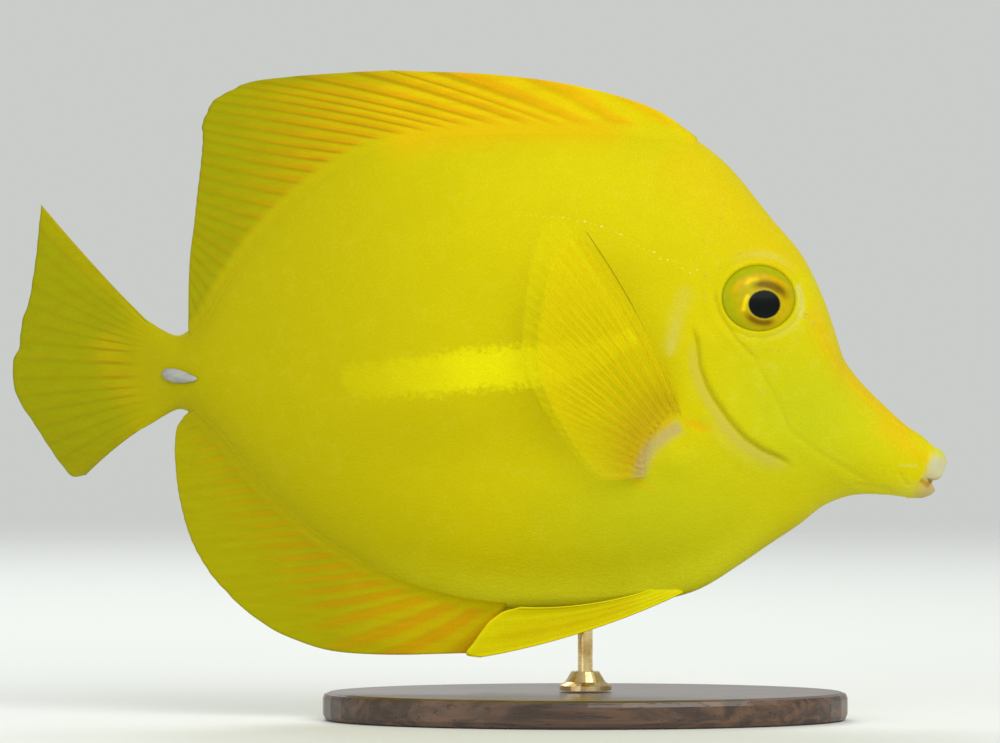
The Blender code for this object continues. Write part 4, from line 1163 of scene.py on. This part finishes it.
# The pelvic fins: one spine and five soft rays on each side, folded back together along the belly. They have
# the upright fins' finish, take most of their colour from the bare skin, and are paled with painted light where
# they lie in the belly's shade.
PELVIC_RAYS = 6
PELVIC_ROOTS = metres(
    (32.6, -35.0), (30.0, -33.8),
)
PELVIC_TIPS = metres(
    (0.2, -45.3), (-2.0, -44.9), (-0.3, -42.1), (1.4, -39.8), (3.4, -38.2), (6.6, -37.2),
)
PELVIC_BOW, PELVIC_ASIDE_ROOT, PELVIC_ASIDE_TIP, PELVIC_TILT = -0.0012, 0.0013, 0.0044, 0.0008

pelvic_roots, pelvic_tips = along(PELVIC_ROOTS), along(PELVIC_TIPS)


def pelvic_path(side):
    def path(across, out):
        x, z = bowed(pelvic_roots(across), pelvic_tips(across), PELVIC_BOW, out)
        aside = PELVIC_ASIDE_ROOT + (PELVIC_ASIDE_TIP - PELVIC_ASIDE_ROOT) * out ** 0.8
        return standing(x, side * (aside + PELVIC_TILT * across * np.sqrt(out)), z)

    return path


def pelvic_tones(x, z):
    streak = stroke(x, z, ((26, -36.2), (18, -39.2), (9, -41.0), (2, -42.4)), 2.2, 0.1)
    upper = stroke(x, z, ((27.5, -34.6), (22, -36.6), (17, -37.6)), 0.6, 0.2)
    return {
        **skin_hues(x, z),
        "olive": 0 * x,
        "rear": 0 * x,
        "stripe": 0.15 * streak + 0.8 * upper,
        "dusk": 0.02 + 0.1 * upper,
        "flesh": np.clip(0.80 + 0.20 * eased(x, 22, 28) - 0.30 * streak, 0, 1),
        # Painted light: the band's pale colour laid over the fin, less along the streak, to lighten it in the shade
        # under the belly
        "bright": 0.42 - 0.25 * streak,
    }


for side, name in SIDES:
    make_fin(
        "pelvic", pelvic_path(side), PELVIC_RAYS, pelvic_tones, thinning(0.00022, 0.00008),
        ridge=0.00003, girths=(0.00019, 0.00008), spines=1, side="_" + name, columns=12, rows=48,
    )

# The eyes: a flattened wet ball in each socket, with a gold iris, a black pupil set a little forward and low,
# and a fold of skin round it.
PUPIL_PLACE, PUPIL_HALVES = (45.3, 10.9), (2.60, 2.28)
IRIS_PLACE, IRIS_HALVES = (44.9, 11.5), (4.85, 4.45)  # the gold inside of the eye
EYE_GREEN, EYE_GOLD, EYE_STREAKS = (0.37, 0.385, 0.001), (0.52, 0.38, 0.001), (0.26, 0.20, 0.001)
IRIS_SHADES = (
    ("arc", (0.66, 0.37, 0.002)), ("shine", (0.80, 0.62, 0.006)), ("brown", (0.15, 0.078, 0.001)),
    ("streak", (0.09, 0.045, 0.001)),
)
EYE_RINGS = (("rim", (0.50, 0.36, 0.04)), ("pupil", (0.004, 0.006, 0.005)), ("edge", (0.24, 0.23, 0.001)))
EYE_ARC = (
    (40.0, 11.6), (40.3, 13.0), (41.2, 14.2), (42.9, 15.0), (44.9, 15.3), (47.2, 14.75), (48.9, 13.6), (49.6, 12.1),
)
# The first stroke is the iris's bright gold crescent beside the pupil; the second is a painted highlight on the top
# left of the eye
CRESCENT_AND_HIGHLIGHT_STROKES = (
    (1.2, ((41.9, 9.6), (42.0, 10.5), (42.3, 11.6), (42.9, 12.6)), 0.55, 0.15),
    (0.9, ((41.9, 13.9), (43.2, 14.75), (45.0, 14.95)), 0.7, 0.3),
)
FOLD_FROM, FOLD_TO = 0.84, 1.44  # the fold of skin, as shares of the eye's own ring
FOLD_STEPS = ((1.38, 0.84, 0.98), (-0.20, 1.02, 1.16), (0.10, 1.16, 1.30), (-0.13, 1.30, 1.44))
FOLD_DEPTH, FOLD_NOTCH, FOLD_NOTCHES = -1.2, 0.03, 23  # in mm: where the fold starts, and its small notches

eye_finish, tree, shader = finish("eye", 0.30, Specular_IOR_Level=0.05, Coat_Roughness=0.08)
streaks = noise(tree, 900.0, 4.0)
colour = layered(tree, tinted(tree, read(tree, "gold"), EYE_GREEN, EYE_GOLD), *IRIS_SHADES)
colour = tinted(tree, ranged(tree, streaks, 0.35, 0.75, 0.0, 0.22), colour, EYE_STREAKS)
wire(
    tree, shader,
    Base_Color=layered(tree, colour, *EYE_RINGS),
    Roughness=rough(tree, streaks, 0.18, 0.28),
    Coat_Weight=ranged(tree, read(tree, "pupil"), 0.0, 1.0, 0.01, 0.04),
    Normal=bump(tree, streaks, 0.00002, 0.4),
)


def skin_frame(x, z, side):
    """The middle of a round part set in the skin, the way out, and a matrix that turns its own Z outwards."""
    outward = Vector(way_out(x, z, side, 0.0008))
    middle = Vector(standing(np.array(x), np.array(side * half_width(x, z)), np.array(z)))
    return middle, outward, outward.to_track_quat("Z", "Y").to_matrix().to_4x4()


def crescent(from_pupil, toward, middle, spread, ring, width):
    """A soft curved shade that hugs the pupil over part of its turn, which is given in radians."""
    aside = np.abs((toward - middle + np.pi) % (2 * np.pi) - np.pi)
    return (1 - eased(aside, 0.35 * spread, spread)) * bell(from_pupil - ring, width)


for side, name in SIDES:
    middle, outward, turn = skin_frame(*EYE_PLACE, side)
    work = bmesh.new()
    bmesh.ops.create_uvsphere(work, u_segments=96, v_segments=96, radius=1)
    work.transform(Matrix.Translation(middle - outward * EYE_DEPTH) @ turn @ Matrix.Diagonal((*EYE_HALVES, 1)))
    ball = made_mesh("ball", work)
    x, z, _ = side_view(ball)
    from_pupil = from_middle(x, z, PUPIL_PLACE, PUPIL_HALVES)
    toward = np.arctan2(z - PUPIL_PLACE[1], x - PUPIL_PLACE[0])
    upper_left = eased(z - x, -42, -29)
    gold = (1 - eased(from_middle(x, z, IRIS_PLACE, IRIS_HALVES), 0.75, 1.08)) * (1 - 0.35 * upper_left)
    brown = 1.10 * crescent(from_pupil, toward, 1.20, 1.20, 1.41, 0.27)
    brown = brown + 1.05 * crescent(from_pupil, toward, -1.85, 1.10, 1.28, 0.25)
    stain(
        ball,
        gold=np.clip(gold + 0.6 * (1 - upper_left), 0, 1),
        arc=0.85 * stroke(x, z, EYE_ARC, 0.8, 0.2),
        shine=np.clip(strokes(x, z, CRESCENT_AND_HIGHLIGHT_STROKES), 0, 1),
        brown=np.clip(brown, 0, 0.94),
        streak=0.6 * stroke(x, z, ((45.0, 13.9), (46.4, 13.5), (48.0, 12.5)), 0.3, 0.3),
        rim=0.7 * bell(from_pupil - 1.05, 0.035) * (1 - 0.6 * eased(x, 44, 47)),
        pupil=1 - eased(from_pupil, 0.96, 1.02),
        edge=0.45 * eased(round_eye(x, z), 0.89, 0.925),
    )
    piece(f"eye_{name}_ball", ball, eye_finish, "eye", f"eye_{name}")

    turns, spans = 128, 18
    angle = np.linspace(0, 2 * np.pi, turns, endpoint=False)[:, None]
    ring = np.linspace(FOLD_FROM, FOLD_TO, spans)[None, :]
    x = EYE_PLACE[0] + EYE_HALVES[0] * np.cos(angle) * ring
    z = EYE_PLACE[1] + EYE_HALVES[1] * np.sin(angle) * ring
    surface, out = skin_places(x, z, side)
    wanted = FOLD_DEPTH + sum(step * eased(ring, low, high) for step, low, high in FOLD_STEPS)
    notched = eased(ring, 1.12, 1.22) * (1 - eased(ring, 1.26, 1.40))
    wanted = wanted + FOLD_NOTCH * np.sin(angle * FOLD_NOTCHES) * notched
    places = surface + out * ((wanted - relief(x * 1e3, z * 1e3)) * 1e-3)[..., None]
    grid = np.arange(turns * spans).reshape(turns, spans)
    after = np.roll(grid, -1, axis=0)
    faces = np.stack([grid[:, :-1], grid[:, 1:], after[:, 1:], after[:, :-1]], -1).reshape(-1, 4).tolist()
    fold = faced_out(mesh_of(places.reshape(-1, 3), faces))
    stain(fold, **skin_tones(*side_view(fold)[:2]))
    piece(f"eye_{name}_fold", fold, skin_finish, "skin")

# The mouth: two soft lips that carry on the form of the snout, parted a little. Each comes out of the skin by
# a hair, in the snout's own yellow, turns pale or pink towards its edge and closes round at its tip.
LIP_MIDDLE = -14.65  # the height at which the snout is widest here, in mm as for all of the mouth
SNOUT_FOOT = -19.9  # down to here the upper lip's sides would carry on, as the snout's do
LIP_ROUNDING = 0.45
LIP_STEPS, LIP_TURNS = 64, 96
UPPER_TOP = (
    (69.6, -9.62), (71.4, -10.55), (72.2, -11.24), (72.8, -11.76), (73.3, -11.98), (73.8, -12.24), (74.2, -12.70),
    (74.6, -13.30), (74.90, -14.0),
)
UPPER_BOTTOM = (
    (69.6, -16.9), (71.2, -16.98), (72.2, -17.18), (73.0, -17.18), (73.5, -16.98), (73.9, -16.62), (74.2, -16.1),
    (74.45, -15.5), (74.7, -14.8), (74.90, -14.1),
)
UPPER_HALF = (
    (69.6, 2.30), (70.4, 2.22), (71.0, 2.10), (71.6, 1.98), (72.2, 1.84), (72.9, 1.66), (73.6, 1.40), (74.2, 1.06),
    (74.6, 0.72), (74.84, 0.34), (74.90, 0.02),
)
LOWER_TOP = (
    (68.5, -17.2), (70.8, -17.2), (71.7, -17.32), (72.25, -17.55), (72.6, -17.95), (72.85, -18.4), (73.0, -18.75),
)
LOWER_BOTTOM = (
    (68.5, -20.02), (69.8, -19.98), (71.2, -19.90), (71.9, -19.66), (72.5, -19.36), (72.85, -19.0), (73.0, -18.8),
)
LOWER_HALF = (
    (68.5, 2.55), (69.5, 2.42), (70.4, 2.34), (71.2, 2.18), (72.0, 1.82), (72.5, 1.36), (72.8, 0.86), (72.95, 0.36),
    (73.0, 0.02),
)

lip_finish, tree, shader = finish("lip", 0.40, **SKIN_GLOSS)
mottle = noise(tree, 900.0, 4.0)
layers = ("lip", coloured(tree, mouth_skin, "lip_")), ("mouth", MOUTH_ORANGE)
wire(
    tree, shader,
    Base_Color=layered(tree, coloured(tree, bare_skin), *layers),
    Roughness=rough(tree, mottle, 0.34, 0.48),
    Normal=bump(tree, mottle, 0.00003, 0.5),
)


def lip(name, top_line, bottom_line, half_line):
    """A lip as rings of points from inside the snout to its own tip, rounded off where the mouth parts."""
    first, last = top_line[0][0], top_line[-1][0]
    x = first + (last - first) * np.sin(np.linspace(0, np.pi / 2, LIP_STEPS))[:, None]
    turn = np.linspace(0, 2 * np.pi, LIP_TURNS, endpoint=False)[None, :]
    top, bottom = through(top_line)(x), through(bottom_line)(x)
    z = bottom + (top - bottom) * (0.5 + 0.5 * np.cos(turn))
    if name == "lower":
        share, edge = (LIP_MIDDLE - z) / (LIP_MIDDLE - bottom), top - z
    else:
        middle = np.clip(LIP_MIDDLE, bottom, top)
        above = (z - middle) / np.maximum(top - middle, 1e-6)
        below = (middle - z) / np.maximum(middle - np.minimum(bottom, SNOUT_FOOT), 1e-6)
        share, edge = np.maximum(above, below), z - bottom
    edge = np.sqrt(1 - (1 - np.clip(edge / LIP_ROUNDING, 0, 1)) ** 2)
    y = through(half_line)(x) * (1 - np.clip(share, 0, 1) ** 2) ** (KEEL / 2) * edge
    spots = standing((x + 0 * z) * 1e-3, y * np.sign(np.sin(turn)) * 1e-3, z * 1e-3)
    grid = np.arange(LIP_STEPS * LIP_TURNS).reshape(LIP_STEPS, LIP_TURNS)
    after = np.roll(grid, -1, axis=1)
    faces = np.stack([grid[:-1], after[:-1], after[1:], grid[1:]], -1).reshape(-1, 4).tolist()
    faces += [grid[0].tolist(), grid[-1][::-1].tolist()]
    mesh = faced_out(mesh_of(spots.reshape(-1, 3), faces))
    places = side_view(mesh)[:2]
    stain(mesh, **skin_hues(*places), **mouth_tones(*places))
    piece(f"mouth_{name}", mesh, lip_finish, "lip", f"lip_{name}")


lip("upper", UPPER_TOP, UPPER_BOTTOM, UPPER_HALF)
lip("lower", LOWER_TOP, LOWER_BOTTOM, LOWER_HALF)

# The blades: a sharp white blade of bone folded forward on each side of the tail stalk, where it lies against
# the skin with its point towards the head.
BLADE_FROM_X, BLADE_LENGTH, BLADE_HEIGHT, BLADE_DROP = -0.0509, 0.0058, -0.0001, 0.0009
BLADE_HALF_HEIGHT, BLADE_HALF_THICKNESS, BLADE_TAPER, BLADE_PROUD = 0.00148, 0.0010, 0.55, 0.0002
BONE_PALE, BONE_DULL = (0.34, 0.36, 0.33), (0.27, 0.26, 0.25)
BONE_STRETCH = (300.0, 1500.0, 1500.0)  # growth lines along the blade

blade_finish, tree, shader = finish("blade", 0.30, Specular_IOR_Level=0.45)
bone = noise(tree, 1.0, 3.0, BONE_STRETCH)
wire(
    tree, shader,
    Base_Color=tinted(tree, ranged(tree, bone, 0.3, 0.7), BONE_PALE, BONE_DULL),
    Roughness=rough(tree, bone, 0.24, 0.38),
    Normal=bump(tree, bone, 0.00003, 0.5),
)

for side, name in SIDES:
    work = bmesh.new()
    bmesh.ops.create_uvsphere(work, u_segments=48, v_segments=32, radius=1)
    for vert in work.verts:
        forward = (vert.co.x + 1) / 2
        x = BLADE_FROM_X + BLADE_LENGTH * forward
        taper = 1 - BLADE_TAPER * forward
        z = BLADE_HEIGHT - BLADE_DROP * forward + vert.co.z * BLADE_HALF_HEIGHT * taper
        y = float(half_width(x, BLADE_HEIGHT)) + BLADE_PROUD + vert.co.y * side * BLADE_HALF_THICKNESS * taper
        vert.co = Vector(standing(np.array(x), np.array(side * y), np.array(z)))
    bmesh.ops.recalc_face_normals(work, faces=work.faces)
    piece(f"stalk_blade_{name}", made_mesh("blade", work), blade_finish, "blade", f"tail_blade_{name}")

# The lateral line and the pores of the head: small pale studs in a row along the flank, and small rings round
# the openings that lie about the eye and nape.
LATERAL_LINE = (
    (5.6, 25.2), (7.3, 24.9), (11.0, 24.8), (15.1, 24.3), (16.1, 24.1), (17.6, 23.6), (19.1, 23.3),
    (20.0, 22.8), (21.1, 22.4), (22.2, 22.0), (23.7, 20.9), (24.9, 20.5), (26.2, 19.5), (27.8, 19.0),
    (29.0, 18.0), (31.1, 17.5), (32.0, 16.7), (33.5, 15.9), (34.9, 16.3),
)
HEAD_PORES = (
    (38.7, 28.5), (39.0, 26.9), (38.5, 24.6), (39.3, 23.4), (36.7, 23.7), (36.2, 22.7), (35.7, 21.1),
    (36.4, 18.7), (37.8, 17.9), (38.2, 16.7), (35.7, 15.5), (40.8, 18.9), (41.4, 18.9), (39.9, 18.6),
    (36.0, 15.4), (35.7, 12.5), (35.8, 11.6), (37.2, 11.6), (39.8, 6.8), (40.3, 6.2), (40.8, 5.2),
    (43.3, 3.5), (44.9, 3.3), (46.2, 3.7), (47.5, 3.7), (50.9, 5.2), (45.4, -2.9),
)
NOSTRILS, NOSTRIL_RADII = ((52.0, 9.1), (53.2, 8.0)), (0.00036, 0.00032)
PORE_RADIUS, PORE_SPREAD = 0.00015, 0.00003
STUD_HALVES = (1.35, 0.95, 0.28)  # long, high and thick, for one of girth 1
STUD_GAP, STUD_SHIFT, STUD_WOBBLE = 1.05, 0.22, 0.12  # along and across the line, in mm
STUD_LEAST, STUD_SPREAD = 0.00008, 0.00013
STUD_WARM, STUD_PALE = (0.70, 0.61, 0.03), (0.74, 0.66, 0.12)
PORE_WARM, PORE_PALE = (0.60, 0.49, 0.01), (0.60, 0.52, 0.06)


def set_tree():
    """Sets one small shape on each point of a mesh, turned to face out of the skin and sized by girth."""
    takes = {"Places": "Geometry", "Shape": "Object", "Finish": "Material"}
    group, given, result = node_group("set_in_skin", "GeometryNodeTree", takes, {"Set": "Geometry"})
    facing = {"Vector": kept(group, "facing", "FLOAT_VECTOR")}
    copied = {
        "Points": given["Places"],
        "Instance": put(group, "GeometryNodeObjectInfo", {"Object": given["Shape"]}).outputs["Geometry"],
        "Rotation": put(group, "FunctionNodeAlignRotationToVector", facing, axis="Z").outputs["Rotation"],
        "Scale": kept(group, "girth", "FLOAT"),
    }
    painted(group, put(group, "GeometryNodeInstanceOnPoints", copied).outputs[0], given, result)
    return group


set_in_skin = set_tree()


def set_places(places, girths, side):
    """A mesh of points on the skin, each with the way out there and its girth."""
    x, z = (np.array(axis, float) * 1e-3 for axis in zip(*places))
    spots, out = skin_places(x, z, side)
    mesh = bpy.data.meshes.new("places")
    mesh.from_pydata([tuple(spot) for spot in spots], [], [])
    stain(mesh, girth=np.array(girths, float))
    layer = mesh.attributes.new("facing", "FLOAT_VECTOR", "POINT")
    layer.data.foreach_set("vector", out.astype(np.float32).ravel())
    return mesh


def small_finish(name, roughness, gloss, fineness, warm, pale, smoothest, roughest):
    """The mottled finish of a small part."""
    made, tree, shader = finish(name, roughness, Specular_IOR_Level=gloss)
    mottle = noise(tree, fineness)
    colour = tinted(tree, ranged(tree, mottle, 0.3, 0.7), warm, pale)
    wire(tree, shader, Base_Color=colour, Roughness=rough(tree, mottle, smoothest, roughest))
    return made


work = bmesh.new()
bmesh.ops.create_icosphere(work, subdivisions=2, radius=1)
work.transform(Matrix.Diagonal((*STUD_HALVES, 1)))
stud = bpy.data.objects.new("stud", made_mesh("stud", work))

bpy.ops.mesh.primitive_torus_add(major_segments=16, minor_segments=6, major_radius=1, minor_radius=0.30)
torus = bpy.context.object
work = bmesh.new()
work.from_mesh(torus.data)
bpy.data.objects.remove(torus)
pore_ring = bpy.data.objects.new("pore_ring", made_mesh("pore_ring", work))

stud_finish = small_finish("stud", 0.5, 0.15, 1200.0, STUD_WARM, STUD_PALE, 0.45, 0.6)
pore_finish = small_finish("pore", 0.40, 0.25, 1400.0, PORE_WARM, PORE_PALE, 0.34, 0.48)

line_walk = walk(LATERAL_LINE)
line_x, line_z = (through(list(zip(line_walk, axis))) for axis in zip(*LATERAL_LINE))
stud_at = np.arange(0.6, line_walk[-1], STUD_GAP)
stud_at = stud_at + STUD_SHIFT * np.sin(stud_at * 4.7)
stud_places = list(zip(line_x(stud_at), line_z(stud_at) + STUD_WOBBLE * np.sin(stud_at * 7.3)))
swelling = (0.5 + 0.5 * np.sin(stud_at * 3.1 + 2 * np.sin(stud_at))) ** 2
stud_girths = STUD_LEAST + STUD_SPREAD * swelling * eased(stud_at, 2, 12)
pore_girths = [PORE_RADIUS + PORE_SPREAD * math.sin(3.7 * i) for i in range(len(HEAD_PORES))]
for side, name in SIDES:
    studs = grown(set_in_skin, set_places(stud_places, stud_girths, side), Shape=stud, Finish=stud_finish)
    piece(f"lateral_line_{name}", studs, stud_finish, "skin")
    places = set_places(HEAD_PORES + NOSTRILS, (*pore_girths, *NOSTRIL_RADII), side)
    rings = grown(set_in_skin, places, Shape=pore_ring, Finish=pore_finish)
    piece(f"head_pores_{name}", rings, pore_finish, "skin")

for helper in (stud, pore_ring):
    bpy.data.objects.remove(helper)

bpy.context.view_layer.update()
